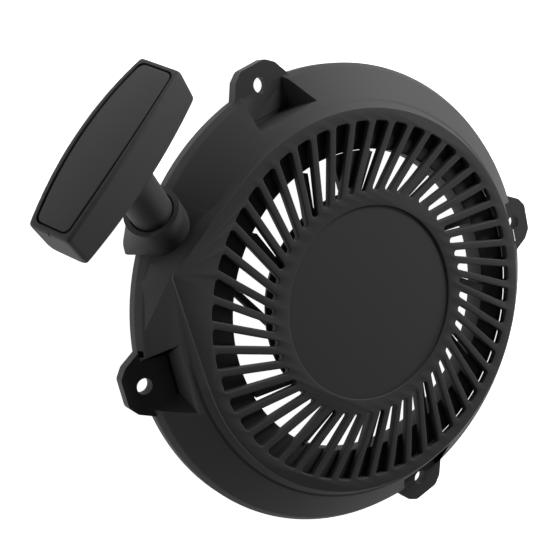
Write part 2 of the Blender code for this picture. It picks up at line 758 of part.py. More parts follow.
def make_brake_spring(finish):
    """The wave washer that makes the guide drag."""
    low = WASHER_Z + WASHER_THICK + GAP
    high = GUIDE_Z - GAP
    thick = 0.3
    wave = (high - low - thick) / 2
    middle = (high + low) / 2
    steps = 36
    bm = bmesh.new()
    rows = []
    for i in range(steps):
        z = middle + wave * math.sin(3 * 2 * math.pi * i / steps)
        rows.append([bm.verts.new(polar(r, 360.0 * i / steps, z + dz)) for r, dz in
                     ((POST_R + 1.0, thick / 2), (POST_R + 3.6, thick / 2),
                      (POST_R + 3.6, -thick / 2), (POST_R + 1.0, -thick / 2))])
    for i in range(steps):
        a, b = rows[i], rows[(i + 1) % steps]
        for j in range(4):
            bm.faces.new((a[j], b[j], b[(j + 1) % 4], a[(j + 1) % 4]))
    return piece("brake_spring", bm, finish)


def make_washer(finish):
    high = WASHER_Z + WASHER_THICK
    return turned("thrust_washer", [(POST_R + 4.5, high), (POST_R + 4.5, WASHER_Z),
                                    (SCREW_R + GAP, WASHER_Z), (SCREW_R + GAP, high)], finish, SMALL_ROUND)


def make_screw(finish):
    """The shoulder screw that closes the stack, its head level with the mounting plane."""
    tip = 14.0
    return turned("centre_screw", [(0.0, tip), (SCREW_R - 0.6, tip), (SCREW_R, tip - 0.6),
                                   (SCREW_R, SCREW_HEAD), (SCREW_HEAD_R, SCREW_HEAD),
                                   (SCREW_HEAD_R, 0.4), (SCREW_HEAD_R - 0.4, 0.0), (0.0, 0.0)],
                  finish, SMALL_ROUND, ring=False)


def make_insert(finish):
    return turned("threaded_insert", [(INSERT_R, 14.7), (INSERT_R, POST_BOTTOM + 0.4),
                                      (SCREW_R + GAP, POST_BOTTOM + 0.4), (SCREW_R + GAP, 14.7)],
                  finish, SMALL_ROUND)


# ---------------------------------------------------------------- rope and handle

def collar_frame():
    place = rope_places()
    return frame_at(place["mouth"], place["pull"], (0.0, 0.0, 1.0))


def make_rope_guide(finish):
    """The eyelet at the bottom of the collar that the rope bends over."""
    seat = -COLLAR_DEPTH
    hole = ROPE_D / 2 + 0.6
    stem = GUIDE_FLANGE_R - 2.5 - GAP
    made = turned("rope_guide", [(GUIDE_FLANGE_R - 0.4, seat + 1.2), (GUIDE_FLANGE_R, seat + 0.8),
                                 (GUIDE_FLANGE_R, seat + GAP), (stem, seat + GAP), (stem, seat - 2.2),
                                 (hole, seat - 2.2), (hole, seat + 0.9), (hole + 0.5, seat + 1.2)],
                  finish, SMALL_ROUND)
    frame = collar_frame()
    made.matrix_world = Matrix.Translation(frame.translation * MM) @ frame.to_3x3().to_4x4()
    return made


def round_bar(name, start, end, radius, finish, steps=12):
    frame = frame_at(start, end - start, (0.3, 0.2, 1.0))
    return piece(name, cylinder(radius, 0.0, (end - start).length, steps, matrix=frame), finish)


def handle_frame():
    """At the middle of the bar's inner face: X along the bar, Z along the pull."""
    place = rope_places()
    return frame_at(place["mouth"] + place["pull"] * HANDLE_GAP, place["pull"], place["along"])


def bar_width(x):
    """Half the bar's width, which is largest at its middle."""
    return HANDLE_WIDTH / 2 - HANDLE_BARREL * (2 * x / HANDLE_LENGTH) ** 2


def bar_top(x):
    """Height of the bar's crowned outer face."""
    return HANDLE_DEPTH - CROWN * (2 * x / HANDLE_LENGTH) ** 2


def loft(rings):
    """A solid through rings that have the same number of points, closed at both ends."""
    bm = bmesh.new()
    made = [[bm.verts.new(point) for point in ring] for ring in rings]
    count = len(made[0])
    for a, b in zip(made, made[1:]):
        for i in range(count):
            j = (i + 1) % count
            bm.faces.new((a[i], a[j], b[j], b[i]))
    bm.faces.new(made[0][::-1])
    bm.faces.new(made[-1])
    return bm


def bar_solid(border, low, sunk, upper_edge, lower_edge, end_edge, all_round):
    """A solid that follows the bar's barrel plan and crown.

    border is taken off its plan, low is its underside and sunk its top's depth below the bar's
    own. The three edges are the roundings of its upper and lower long edges and of its ends;
    all_round rounds the ends' upper and lower edges too.
    """
    frame = handle_frame()
    half = HANDLE_LENGTH / 2 - border
    ends = [(end_edge * (1 - math.sin(turn)), end_edge * (1 - math.cos(turn)))
            for turn in (math.pi / 2, math.pi / 4)]
    spots = [(half - back, shrink) for back, shrink in ends]
    inner = half - end_edge
    spots += [(inner - 2 * inner * i / BAR_STEPS, 0.0) for i in range(BAR_STEPS + 1)]
    spots += [(back - half, shrink) for back, shrink in reversed(ends)]
    rings = []
    for x, shrink in spots:
        wide = bar_width(x) - border - shrink
        high = bar_top(x) - sunk - shrink * all_round
        base = low + shrink * all_round
        corners = [Vector(p) for p in ((wide, base), (wide, high), (-wide, high), (-wide, base))]
        section = corners
        if upper_edge:
            section = rounded(corners, (lower_edge, upper_edge, upper_edge, lower_edge), (2, 2, 2, 2))
        rings.append([frame @ Vector((x, point.x, point.y)) for point in section])
    return loft(rings)


def neck_solid():
    """The round neck, which widens in a smooth curve into the bar."""
    frame = handle_frame()
    low = -HANDLE_GAP - NECK_ENTRY
    sizes = [(NECK_R - 0.6, NECK_R - 0.6, low), (NECK_R, NECK_R, low + 0.6)]
    for i in range(6):
        turn = math.radians(15.0 * i)
        bulge = 1 - math.cos(turn)
        height = (FLARE_HEIGHT + 1.0) * math.sin(turn) - FLARE_HEIGHT
        sizes.append((NECK_R + FLARE_LONG * bulge, NECK_R + FLARE_WIDE * bulge, height))
    sizes.append((*sizes[-1][:2], HANDLE_DEPTH / 4))
    return loft([[frame @ Vector((long * spot.x, wide * spot.y, height)) for spot in circle(1.0)]
                 for long, wide, height in sizes])


def make_handle(finish):
    """The T handle: a barrel-shaped bar on a round neck, hollow for the knot."""
    frame = handle_frame()
    made = piece("handle_body", bar_solid(0.0, 0.0, 0.0, HANDLE_EDGE, HANDLE_GRIP_EDGE, HANDLE_EDGE, 1), finish)
    fuse(made, "neck", neck_solid())
    floor = HANDLE_DEPTH - CHAMBER_DEPTH
    wide = HANDLE_WIDTH - 2 * (HANDLE_BARREL + COVER_BORDER)
    cut(made, "chamber", box((CHAMBER_LENGTH, wide - 1.5, CHAMBER_DEPTH + 2),
                             (0.0, 0.0, floor + (CHAMBER_DEPTH + 2) / 2), frame))
    seat = HANDLE_DEPTH - CROWN - COVER_THICK
    cut(made, "cover_seat", bar_solid(COVER_BORDER, seat, -SPARE, 0.0, 0.0, HANDLE_EDGE, 0))
    cut(made, "rope_bore", cylinder(ROPE_D / 2 + GAP, -HANDLE_GAP - NECK_ENTRY - 2, HANDLE_DEPTH, 20,
                                    matrix=frame))
    return made


def make_cover(finish):
    """The panel that closes the handle over the knot."""
    low = HANDLE_DEPTH - CROWN - COVER_THICK + GAP
    return piece("handle_cover", bar_solid(COVER_BORDER + GAP, low, COVER_SUNK, 0.0, 0.0, HANDLE_EDGE, 0), finish)


def make_handle_knot(finish):
    """The stopper knot in the handle."""
    low = HANDLE_DEPTH - CHAMBER_DEPTH + KNOT_WASHER + 2 * GAP
    high = HANDLE_DEPTH - CROWN - COVER_THICK - GAP
    spot = handle_frame() @ Vector((0.0, 0.0, (low + high) / 2))
    squash = handle_frame().to_3x3().to_4x4() @ Matrix.Diagonal((1.0, 0.85, (high - low) / 2 / KNOT_R, 1.0))
    bm = bmesh.new()
    bmesh.ops.create_uvsphere(bm, u_segments=20, v_segments=10, radius=KNOT_R,
                              matrix=Matrix.Translation(spot) @ squash)
    return piece("rope_knot_handle", bm, finish)


def make_knot_washer(finish):
    floor = HANDLE_DEPTH - CHAMBER_DEPTH + GAP
    hole = ROPE_D / 2 + GAP
    high = floor + KNOT_WASHER
    made = turned("knot_washer", [(4.2, high), (4.2, floor), (hole, floor), (hole, high)], finish, 24)
    frame = handle_frame()
    made.matrix_world = Matrix.Translation(frame.translation * MM) @ frame.to_3x3().to_4x4()
    return made


def empty(name, at, children):
    """An empty on a joint's axis, with its pieces as children."""
    made = bpy.data.objects.new(name, None)
    made.location = at
    bpy.data.collections[PARTS].objects.link(made)
    bpy.context.view_layer.update()
    for child in children:
        child.parent = made
        child.matrix_parent_inverse = made.matrix_world.inverted()
    return made


def main():
    for old in list(bpy.data.objects):
        bpy.data.objects.remove(old, do_unlink=True)
    collection(PARTS)
    collection(CUTTERS)
    housing = material("black_moulding", (0.018, 0.018, 0.019), 0.38)
    inner = material("inner_moulding", (0.02, 0.02, 0.021), 0.45)
    nylon = material("reel_nylon", (0.03, 0.03, 0.032), 0.5)
    cord = material("braided_rope", (0.06, 0.055, 0.05), 0.85)
    grip = material("handle_moulding", (0.022, 0.022, 0.023), 0.5)
    panel = material("cover_panel", (0.03, 0.03, 0.032), 0.42)
    steel = material("zinc_steel", (0.6, 0.6, 0.58), 0.35, 1.0)
    spring = material("spring_steel", (0.25, 0.26, 0.28), 0.3, 1.0)
    brass = material("brass", (0.7, 0.5, 0.22), 0.3, 1.0)

    make_grille(housing)
    make_shell(housing)
    make_duct(inner)
    make_ribs(inner)
    make_cup(inner)
    make_insert(brass)
    make_mainspring(spring)
    make_rope_guide(steel)
    make_washer(steel)
    make_screw(steel)
    make_brake_spring(spring)

    place = rope_places()
    clear = math.sqrt(wound_radius() ** 2 - (ROPE_OFFSET - ROPE_D / 2) ** 2) + 2 * GAP
    turning = [make_reel(nylon), make_bush(brass), make_wound_rope(cord), make_knot(cord)]
    turning += [make_pin(i, steel) for i in range(PAWLS)]
    turning += [make_pawl_spring(i, spring) for i in range(PAWLS)]
    hub = empty("reel_axis", (0.0, 0.0, (REEL_TOP + REEL_BOTTOM) / 2 * MM), turning)
    guide = empty("guide_axis", (0.0, 0.0, GUIDE_Z * MM), [make_guide(nylon)])
    guide.parent = hub
    guide.matrix_parent_inverse = hub.matrix_world.inverted()
    for i in range(PAWLS):
        at = pawl_frame(i).translation * MM
        pivot = empty(f"pawl_axis_{i + 1}", at, [make_pawl(i, steel)])
        pivot.parent = hub
        pivot.matrix_parent_inverse = hub.matrix_world.inverted()

    round_bar("rope_strand", place["leave"] + place["out"] * clear, place["bend"] - place["out"], ROPE_D / 2,
              cord)
    knot_seat = handle_frame() @ Vector((0.0, 0.0, HANDLE_DEPTH - CHAMBER_DEPTH + KNOT_WASHER + GAP))
    tail = round_bar("rope_tail", place["bend"] + place["pull"] * 1.5, knot_seat, ROPE_D / 2, cord)
    pulled = [make_handle(grip), make_cover(panel), make_handle_knot(cord), make_knot_washer(steel), tail]
    empty("handle_axis", place["mouth"] * MM, pulled)


main()
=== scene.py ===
"""The looks of a recoil starter, the pull start of a small engine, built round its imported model.

Sizes are in millimetres and degrees until a mesh is made. Z is the starter's axis, the slotted
face looks up it, and the rope leaves towards -X.
"""
import json
import math

import bmesh
import bpy
from bpy.props import FloatProperty, FloatVectorProperty, PointerProperty
from mathutils import Matrix, Vector


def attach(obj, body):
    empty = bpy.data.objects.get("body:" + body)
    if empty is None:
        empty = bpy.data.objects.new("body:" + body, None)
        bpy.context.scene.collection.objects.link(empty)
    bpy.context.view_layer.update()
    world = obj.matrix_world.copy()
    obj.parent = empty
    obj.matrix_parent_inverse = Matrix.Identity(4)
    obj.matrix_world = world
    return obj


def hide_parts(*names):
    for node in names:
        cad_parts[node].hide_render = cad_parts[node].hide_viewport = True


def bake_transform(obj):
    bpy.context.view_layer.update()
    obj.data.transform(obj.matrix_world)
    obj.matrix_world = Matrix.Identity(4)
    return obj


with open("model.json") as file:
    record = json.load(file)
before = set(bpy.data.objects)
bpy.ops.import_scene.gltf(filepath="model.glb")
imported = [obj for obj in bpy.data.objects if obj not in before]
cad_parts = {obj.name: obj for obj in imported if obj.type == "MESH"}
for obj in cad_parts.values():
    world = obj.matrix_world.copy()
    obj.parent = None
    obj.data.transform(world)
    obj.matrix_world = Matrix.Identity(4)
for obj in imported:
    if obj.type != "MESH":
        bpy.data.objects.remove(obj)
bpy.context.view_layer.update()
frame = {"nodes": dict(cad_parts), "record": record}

bl_info = {
    "name": "Recoil starter looks",
    "version": (1, 0, 0),
    "blender": (4, 5, 0),
    "location": "View3D > Sidebar > Starter",
    "description": "Builds the mouldings, rope, reel and finishes of a pull starter round its frame",
    "category": "Object",
}

MM = 0.001
WELD = 0.000004  # metres
SPARE = 2.0  # what is joined or cut runs on by this much, so that no two faces coincide
FINE = 240  # steps in a large turned shape
MEDIUM = 96
SMALL = 48

# Cover
FACE_Z = 24.0
FACE_R = 81.5
FACE_PLATE = 3.0
RIM_R = 100.0
WALL = 2.6
STEP_Z = 19.5
STEP_R = 85.0
SHOULDER_R = 98.0
SHOULDER_Z = 7.6
RECESS_R = 41.2
RECESS_DEPTH = 0.8
SLOTS = 48
SLOT_IN_R = 47.6
SLOT_OUT_R = 76.2
BAR = 3.1
SWIRL_R = 21.0
SLOT_PHASE = 5.5
EAR_ANGLES = (40.0, 140.0, 220.0, 320.0)
EAR_R = 100.0
EAR_THICK = 5.0
EAR_PAD = 0.5
EAR_HOLE_R = 3.3
EAR_REACH = 8.6
EAR_HALF = 14.0
POCKET_IN_R = 86.5
POCKET_TOP_HALF = 20.0

# Inside mouldings
DUCT_R = 64.4
DUCT_WALL = 2.2
DUCT_BOTTOM = 9.0
DUCT_STEP = 13.0
LEDGE_TOP = 19.8
LEDGE = 2.0
DUCT_EDGE = 77.3
RIBS = 12
RIB_WIDTH = 3.0
WEB_RIB = 3
WEB_ANGLE = 131.5
WEB_IN_R = 50.0
MISSING_RIB = 6
CUP_R = 30.0
CUP_WALL = 2.0
CUP_BASE = 19.7
POST_R = 6.5
POST_BOTTOM = 3.0

# Reel
REEL_TOP = 15.2
REEL_BOTTOM = 5.2
REEL_FLANGE = 1.4
REEL_R = 47.0
REEL_LOW_R = 42.0
CORE_R = 27.5
CORE_WALL = 2.2
RECESS_ROOF = 9.6
REEL_BORE = 8.5
REEL_HUB_R = 10.5
GAP = 0.3
PAWL_Z = 5.4

# Rope, collar and handle
PULL_AZIMUTH = 162.0
PULL_RISE = 34.0
WING_AZIMUTH = 223.2
ROPE_D = 3.5
ROPE_OFFSET = 33.5
ROPE_WINDOW = 11.0  # width of the gap in the duct ring that the rope runs through
WINDOW_LONG = 16.0
STRAND_CLEAR = 19.0  # from where the rope leaves the reel to where its straight run is drawn from
BEND_REACH = 2.0  # the turn at the collar's foot starts and ends this far from its corner
STRAND_STEPS = 40
TAIL_STEPS = 120
MOUTH_ALONG = 100.8
MOUTH_Z = 15.5
COLLAR_R = 11.0
COLLAR_WALL = 2.1
COLLAR_DEPTH = 6.6
FOOT_R = 104.3
FOOT_AZIMUTH = 190.3
HANDLE_GAP = 27.6
HANDLE_LENGTH = 72.0
HANDLE_WIDTH = 22.8  # at the middle of the bar
HANDLE_BARREL = 2.7  # less on each side at its ends
HANDLE_DEPTH = 21.0
HANDLE_EDGE = 1.1
GRIP_EDGE = 3.0
HANDLE_ROLL = 6.3
NECK_R = 8.3
NECK_ENTRY = 5.0
FLARE_LONG = 10.0
FLARE_WIDE = 1.6
FLARE_HEIGHT = 9.0
CROWN = 3.0
PANEL_BORDER = 1.9
PANEL_GROOVE = 0.8
PANEL_THICK = 1.5


# ---------------------------------------------------------------- geometry helpers

def polar(radius, degrees, z=0.0):
    angle = math.radians(degrees)
    return Vector((radius * math.cos(angle), radius * math.sin(angle), z))


def about_z(degrees):
    return Matrix.Rotation(math.radians(degrees), 4, "Z")


def frame_at(origin, z_axis, x_hint):
    """A matrix whose Z follows z_axis and whose X leans towards x_hint."""
    z = Vector(z_axis).normalized()
    x = (Vector(x_hint) - z * z.dot(Vector(x_hint))).normalized()
    made = Matrix((x, z.cross(x), z)).transposed().to_4x4()
    made.translation = origin
    return made


def circle(radius, centre=(0.0, 0.0), steps=SMALL):
    turn = 2 * math.pi / steps
    return [Vector((centre[0] + radius * math.cos(turn * i), centre[1] + radius * math.sin(turn * i)))
            for i in range(steps)]


def corner_arc(before, corner, after, radius, steps):
    """The points of an arc that rounds one corner of an outline."""
    back = (before - corner).normalized()
    on = (after - corner).normalized()
    half = back.angle(on) / 2
    middle = corner + (back + on).normalized() * (radius / math.sin(half))
    start = corner + back * (radius / math.tan(half)) - middle
    end = corner + on * (radius / math.tan(half)) - middle
    sweep = start.angle_signed(end)
    return [middle + Matrix.Rotation(-sweep * s / steps, 2) @ start for s in range(steps + 1)]


def rounded(corners, radii, steps, closed=True):
    """An outline with an arc at each corner; the ends of an open one stay as they are."""
    made = []
    count = len(corners)
    for i, corner in enumerate(corners):
        if not radii[i] or (not closed and i in (0, count - 1)):
            made.append(corner.copy())
            continue
        made += corner_arc(corners[i - 1], corner, corners[(i + 1) % count], radii[i], steps)
    return made


def outline(points, radii, steps=4, closed=True):
    return rounded([Vector(p) for p in points], radii, steps, closed)


def show(name, mesh, smooth_below=32.0):
    made = bpy.data.objects.new(name, mesh)
    bpy.context.scene.collection.objects.link(made)
    mesh.shade_smooth()
    mesh.set_sharp_from_angle(angle=math.radians(smooth_below))
    return made


def from_bmesh(name, bm, smooth_below=32.0):
    """An object in metres from a bmesh in millimetres."""
    bmesh.ops.scale(bm, vec=(MM, MM, MM), verts=bm.verts)
    bmesh.ops.recalc_face_normals(bm, faces=bm.faces)
    mesh = bpy.data.meshes.new(name)
    bm.to_mesh(mesh)
    bm.free()
    return show(name, mesh, smooth_below)


def settle(made, smooth_below=32.0):
    """Makes a piece's modifiers, or a curve, into its plain mesh."""
    bpy.context.view_layer.update()
    solid = made.evaluated_get(bpy.context.evaluated_depsgraph_get())
    mesh = bpy.data.meshes.new_from_object(solid)
    bm = bmesh.new()
    bm.from_mesh(mesh)
    bmesh.ops.transform(bm, matrix=made.matrix_world, verts=bm.verts)
    bmesh.ops.remove_doubles(bm, verts=bm.verts, dist=WELD)
    bmesh.ops.dissolve_degenerate(bm, dist=WELD, edges=bm.edges)
    bm.to_mesh(mesh)
    bm.free()
    name = made.name
    old = made.data
    bpy.data.objects.remove(made)
    if isinstance(old, bpy.types.Mesh):
        bpy.data.meshes.remove(old)
    mesh.name = name
    return show(name, mesh, smooth_below)


def boolean(made, tool, operation="DIFFERENCE"):
    """Cuts made by tool, or joins them, and removes tool."""
    step = made.modifiers.new("cut", "BOOLEAN")
    step.operation = operation
    step.object = tool
    made = settle(made)
    bpy.data.objects.remove(tool)
    return made


def lathe(name, profile, steps=FINE, smooth_below=32.0):
    """A turned solid from a closed list of (radius, z)."""
    bm = bmesh.new()
    rings = []
    for r, z in profile:
        if r < 1e-6:
            rings.append([bm.verts.new((0.0, 0.0, z))])
        else:
            rings.append([bm.verts.new(polar(r, 360.0 * i / steps, z)) for i in range(steps)])
    for a, b in zip(rings, rings[1:] + rings[:1]):
        if len(a) == 1 and len(b) == 1:
            continue
        for i in range(steps):
            j = (i + 1) % steps
            corners = [a[i % len(a)], a[j % len(a)], b[j % len(b)], b[i % len(b)]]
            bm.faces.new(list(dict.fromkeys(corners)))
    return from_bmesh(name, bm, smooth_below)


def hull(name, points):
    bm = bmesh.new()
    for point in points:
        bm.verts.new(point)
    found = bmesh.ops.convex_hull(bm, input=bm.verts)
    spare = [v for v in found["geom_interior"] if isinstance(v, bmesh.types.BMVert)]
    bmesh.ops.delete(bm, geom=spare, context="VERTS")
    bmesh.ops.dissolve_limit(bm, angle_limit=0.01, verts=bm.verts, edges=bm.edges)
    return from_bmesh(name, bm)


def cylinder(name, radius, low, high, matrix=Matrix(), steps=SMALL, end_radius=None):
    bm = bmesh.new()
    end = radius if end_radius is None else end_radius
    bmesh.ops.create_cone(bm, cap_ends=True, segments=steps, radius1=radius, radius2=end, depth=high - low,
                          matrix=matrix @ Matrix.Translation((0.0, 0.0, (low + high) / 2)))
    return from_bmesh(name, bm)


def block(name, size, centre, matrix=Matrix()):
    bm = bmesh.new()
    place = matrix @ Matrix.Translation(centre) @ Matrix.Diagonal((*size, 1))
    bmesh.ops.create_cube(bm, size=1.0, matrix=place)
    return from_bmesh(name, bm)


def plate(name, outlines, low, high, edge=0.0, matrix=Matrix()):
    """A flat piece between two heights; the first outline is its rim, the rest are holes.

    Its edges are rounded by edge.
    """
    shape = bpy.data.curves.new(name, "CURVE")
    shape.dimensions = "2D"
    shape.fill_mode = "BOTH"
    shape.extrude = ((high - low) / 2 - edge) * MM
    shape.bevel_depth = edge * MM
    shape.bevel_resolution = 2
    shape.offset = -edge * MM
    for index, points in enumerate(outlines):
        if index:
            points = points[::-1]
        spline = shape.splines.new("POLY")
        spline.points.add(len(points) - 1)
        for point, at in zip(spline.points, points):
            point.co = (at[0] * MM, at[1] * MM, 0.0, 1.0)
        spline.use_cyclic_u = True
    made = bpy.data.objects.new(name, shape)
    bpy.context.scene.collection.objects.link(made)
    move = matrix @ Matrix.Translation((0.0, 0.0, (low + high) / 2))
    move.translation = move.translation * MM
    made.matrix_world = move
    return settle(made)


def round_edges(made, width, angle=35.0, segments=3):
    step = made.modifiers.new("edges", "BEVEL")
    step.width = width * MM
    step.segments = segments
    step.limit_method = "ANGLE"
    step.angle_limit = math.radians(angle)
    step.harden_normals = False
    return settle(made)


def join(name, pieces):
    """One object of several, keeping each one's own mesh."""
    bm = bmesh.new()
    for made in pieces:
        bm.from_mesh(made.data)
        bpy.data.objects.remove(made)
    mesh = bpy.data.meshes.new(name)
    bm.to_mesh(mesh)
    bm.free()
    return show(name, mesh)


def fit(made, body, slot, finish, *nodes):
    """Gives a piece its finish and its body, and hides the nodes that it stands for."""
    made.data.materials.clear()
    made.data.materials.append(finish)
    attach(made, body)
    if nodes:
        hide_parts(*nodes)
    return made


# ---------------------------------------------------------------- shared places

def rope_places():
    """Where the rope leaves the reel, bends and meets the handle, and its directions."""
    out = polar(1.0, PULL_AZIMUTH)
    side = polar(1.0, PULL_AZIMUTH + 90.0)
    rise = math.radians(PULL_RISE)
    pull = out * math.cos(rise) + Vector((0.0, 0.0, math.sin(rise)))
    mouth = side * ROPE_OFFSET + out * MOUTH_ALONG + Vector((0.0, 0.0, MOUTH_Z))
    groove = (REEL_TOP + REEL_BOTTOM) / 2
    bend = mouth - pull * ((MOUTH_Z - groove) / math.sin(rise))
    leave = side * ROPE_OFFSET + Vector((0.0, 0.0, groove))
    along = Vector((0.0, 0.0, 1.0)).cross(pull).normalized()
    along = Matrix.Rotation(math.radians(HANDLE_ROLL), 3, pull) @ along
    return {"out": out, "pull": pull, "mouth": mouth, "bend": bend, "leave": leave, "along": along}


def collar_frame():
    place = rope_places()
    return frame_at(place["mouth"], place["pull"], (0.0, 0.0, 1.0))


def handle_frame():
    """At the middle of the bar's inner face: X along the bar, Z along the pull."""
    place = rope_places()
    return frame_at(place["mouth"] + place["pull"] * HANDLE_GAP, place["pull"], place["along"])


def face_corner():
    half = math.radians(WING_AZIMUTH - PULL_AZIMUTH) / 2
    return FACE_R / math.cos(half), (WING_AZIMUTH + PULL_AZIMUTH) / 2


def ear_frame(angle):
    return about_z(angle - 90.0) @ Matrix.Translation((0.0, EAR_R, 0.0))


# ---------------------------------------------------------------- finishes

def group(name, inputs, outputs):
    """An empty shader node group with its sockets, ready for its nodes."""
    made = bpy.data.node_groups.new(name, "ShaderNodeTree")
    for label, kind, value in inputs:
        socket = made.interface.new_socket(name=label, in_out="INPUT", socket_type=kind)
        socket.default_value = value
    for label, kind in outputs:
        made.interface.new_socket(name=label, in_out="OUTPUT", socket_type=kind)
    return made, made.nodes.new("NodeGroupInput"), made.nodes.new("NodeGroupOutput")


def node(tree, kind, settings=None, **values):
    """A node with its settings and unlinked socket values; a socket in values may be linked."""
    made = tree.nodes.new(kind)
    for key, value in (settings or {}).items():
        setattr(made, key, value)
    for key, value in values.items():
        socket = made.inputs[int(key[1:])] if key[0] == "i" and key[1:].isdigit() else made.inputs[key]
        if isinstance(value, bpy.types.NodeSocket):
            tree.links.new(value, socket)
        else:
            socket.default_value = value
    return made


def math_node(tree, operation, a, b=0.0, clamp=False):
    return node(tree, "ShaderNodeMath", {"operation": operation, "use_clamp": clamp}, i0=a, i1=b).outputs[0]


def moulded_skin():
    """Fine spark-eroded grain, slow patches of gloss and a thin film of dust for moulded plastic."""
    found = bpy.data.node_groups.get("moulded_skin")
    if found:
        return found
    tree, given, out = group(
        "moulded_skin",
        (("Colour", "NodeSocketColor", (0.02, 0.02, 0.02, 1.0)), ("Roughness", "NodeSocketFloat", 0.4),
         ("Grain", "NodeSocketFloat", 2600.0), ("Patch", "NodeSocketFloat", 0.1),
         ("Dust", "NodeSocketFloat", 0.1)),
        (("Colour", "NodeSocketColor"), ("Roughness", "NodeSocketFloat"), ("Height", "NodeSocketFloat")))
    place = tree.nodes.new("ShaderNodeTexCoord").outputs["Object"]
    grain = node(tree, "ShaderNodeTexNoise", Vector=place, Scale=given.outputs["Grain"], Detail=2.0)
    patch = node(tree, "ShaderNodeTexNoise", Vector=place, Scale=38.0, Detail=4.0, Roughness=0.6)
    speck = node(tree, "ShaderNodeTexNoise", Vector=place, Scale=900.0, Detail=3.0, Roughness=0.7)
    lift = math_node(tree, "SUBTRACT", patch.outputs[0], 0.5)
    rough = math_node(tree, "MULTIPLY", lift, given.outputs["Patch"])
    rough = math_node(tree, "ADD", rough, given.outputs["Roughness"], clamp=True)
    fleck = math_node(tree, "GREATER_THAN", speck.outputs[0], 0.71)
    fleck = math_node(tree, "MULTIPLY", fleck, given.outputs["Dust"])
    film = math_node(tree, "MULTIPLY", patch.outputs[0], 0.3)
    film = math_node(tree, "MULTIPLY", film, given.outputs["Dust"])
    amount = math_node(tree, "ADD", fleck, film, clamp=True)
    tint = node(tree, "ShaderNodeMix", {"data_type": "RGBA"}, i0=amount, i6=given.outputs["Colour"],
                i7=(0.16, 0.155, 0.15, 1.0))
    tree.links.new(tint.outputs[2], out.inputs["Colour"])
    tree.links.new(rough, out.inputs["Roughness"])
    tree.links.new(grain.outputs[0], out.inputs["Height"])
    return tree


def turned_metal():
    """Fine concentric tool marks and dull patches for small steel and brass pieces."""
    found = bpy.data.node_groups.get("turned_metal")
    if found:
        return found
    tree, given, out = group(
        "turned_metal",
        (("Colour", "NodeSocketColor", (0.6, 0.6, 0.58, 1.0)), ("Roughness", "NodeSocketFloat", 0.3),
         ("Marks", "NodeSocketFloat", 4000.0)),
        (("Colour", "NodeSocketColor"), ("Roughness", "NodeSocketFloat"), ("Height", "NodeSocketFloat")))
    place = tree.nodes.new("ShaderNodeTexCoord").outputs["Object"]
    rings = node(tree, "ShaderNodeTexWave", {"wave_type": "RINGS", "rings_direction": "Z"}, Vector=place,
                 Scale=given.outputs["Marks"], Distortion=1.5)
    patch = node(tree, "ShaderNodeTexNoise", Vector=place, Scale=260.0, Detail=5.0, Roughness=0.65)
    lift = math_node(tree, "MULTIPLY", math_node(tree, "SUBTRACT", patch.outputs[0], 0.5), 0.35)
    rough = math_node(tree, "ADD", lift, given.outputs["Roughness"], clamp=True)
    shade = math_node(tree, "ADD", math_node(tree, "MULTIPLY", patch.outputs[0], 0.5), 0.72)
    tint = node(tree, "ShaderNodeVectorMath", {"operation": "SCALE"}, i0=given.outputs["Colour"], Scale=shade)
    tree.links.new(tint.outputs[0], out.inputs["Colour"])
    tree.links.new(rough, out.inputs["Roughness"])
    tree.links.new(rings.outputs[1], out.inputs["Height"])
    return tree


def finish(name, skin, metallic=0.0, bump=0.00002, specular=0.5, **values):
    """A material whose colour, roughness and height come from one of the shared groups."""
    found = bpy.data.materials.get(name)
    if found:
        return found
    made = bpy.data.materials.new(name)
    made.use_nodes = True
    tree = made.node_tree
    shader = tree.nodes["Principled BSDF"]
    shader.inputs["Metallic"].default_value = metallic
    shader.inputs["Specular IOR Level"].default_value = specular
    drawn = tree.nodes.new("ShaderNodeGroup")
    drawn.node_tree = skin
    for key, value in values.items():
        drawn.inputs[key].default_value = (*value, 1.0) if hasattr(value, "__len__") else value
    dent = tree.nodes.new("ShaderNodeBump")
    dent.inputs["Distance"].default_value = bump
    dent.inputs["Strength"].default_value = 1.0
    tree.links.new(drawn.outputs["Height"], dent.inputs["Height"])
    tree.links.new(drawn.outputs["Colour"], shader.inputs["Base Color"])
    tree.links.new(drawn.outputs["Roughness"], shader.inputs["Roughness"])
    tree.links.new(dent.outputs["Normal"], shader.inputs["Normal"])
    return made


def looks():
    return bpy.context.scene.starter_looks


def cover_finish():
    return finish("black_moulding", moulded_skin(), bump=0.000012, Colour=looks().cover_colour,
                  Roughness=looks().cover_roughness, Patch=0.12, Dust=0.05, specular=0.38)


def inner_finish():
    return finish("inner_moulding", moulded_skin(), bump=0.00001, Colour=looks().inner_colour,
                  Roughness=0.46, Patch=0.14, Dust=0.05)


def grip_finish():
    return finish("handle_moulding", moulded_skin(), bump=0.00003, specular=0.24, Colour=looks().grip_colour,
                  Roughness=0.5, Grain=1900.0, Patch=0.1, Dust=0.04)


def panel_finish():
    return finish("cover_panel", moulded_skin(), bump=0.000008, specular=0.24, Colour=looks().panel_colour,
                  Roughness=0.38, Grain=3200.0, Patch=0.34, Dust=0.14)


def nylon_finish():
    return finish("reel_nylon", moulded_skin(), bump=0.00001, Colour=(0.007, 0.007, 0.0075), Roughness=0.5,
                  Patch=0.1, Dust=0.12)


def steel_finish():
    return finish("zinc_steel", turned_metal(), metallic=1.0, bump=0.000004, Colour=(0.58, 0.58, 0.55),
                  Roughness=0.32)


def spring_finish():
    return finish("spring_steel", turned_metal(), metallic=1.0, bump=0.000003, Colour=(0.23, 0.24, 0.27),
                  Roughness=0.34, Marks=2500.0)


def brass_finish():
    return finish("brass", turned_metal(), metallic=1.0, bump=0.000004, Colour=(0.68, 0.48, 0.2),
                  Roughness=0.3)


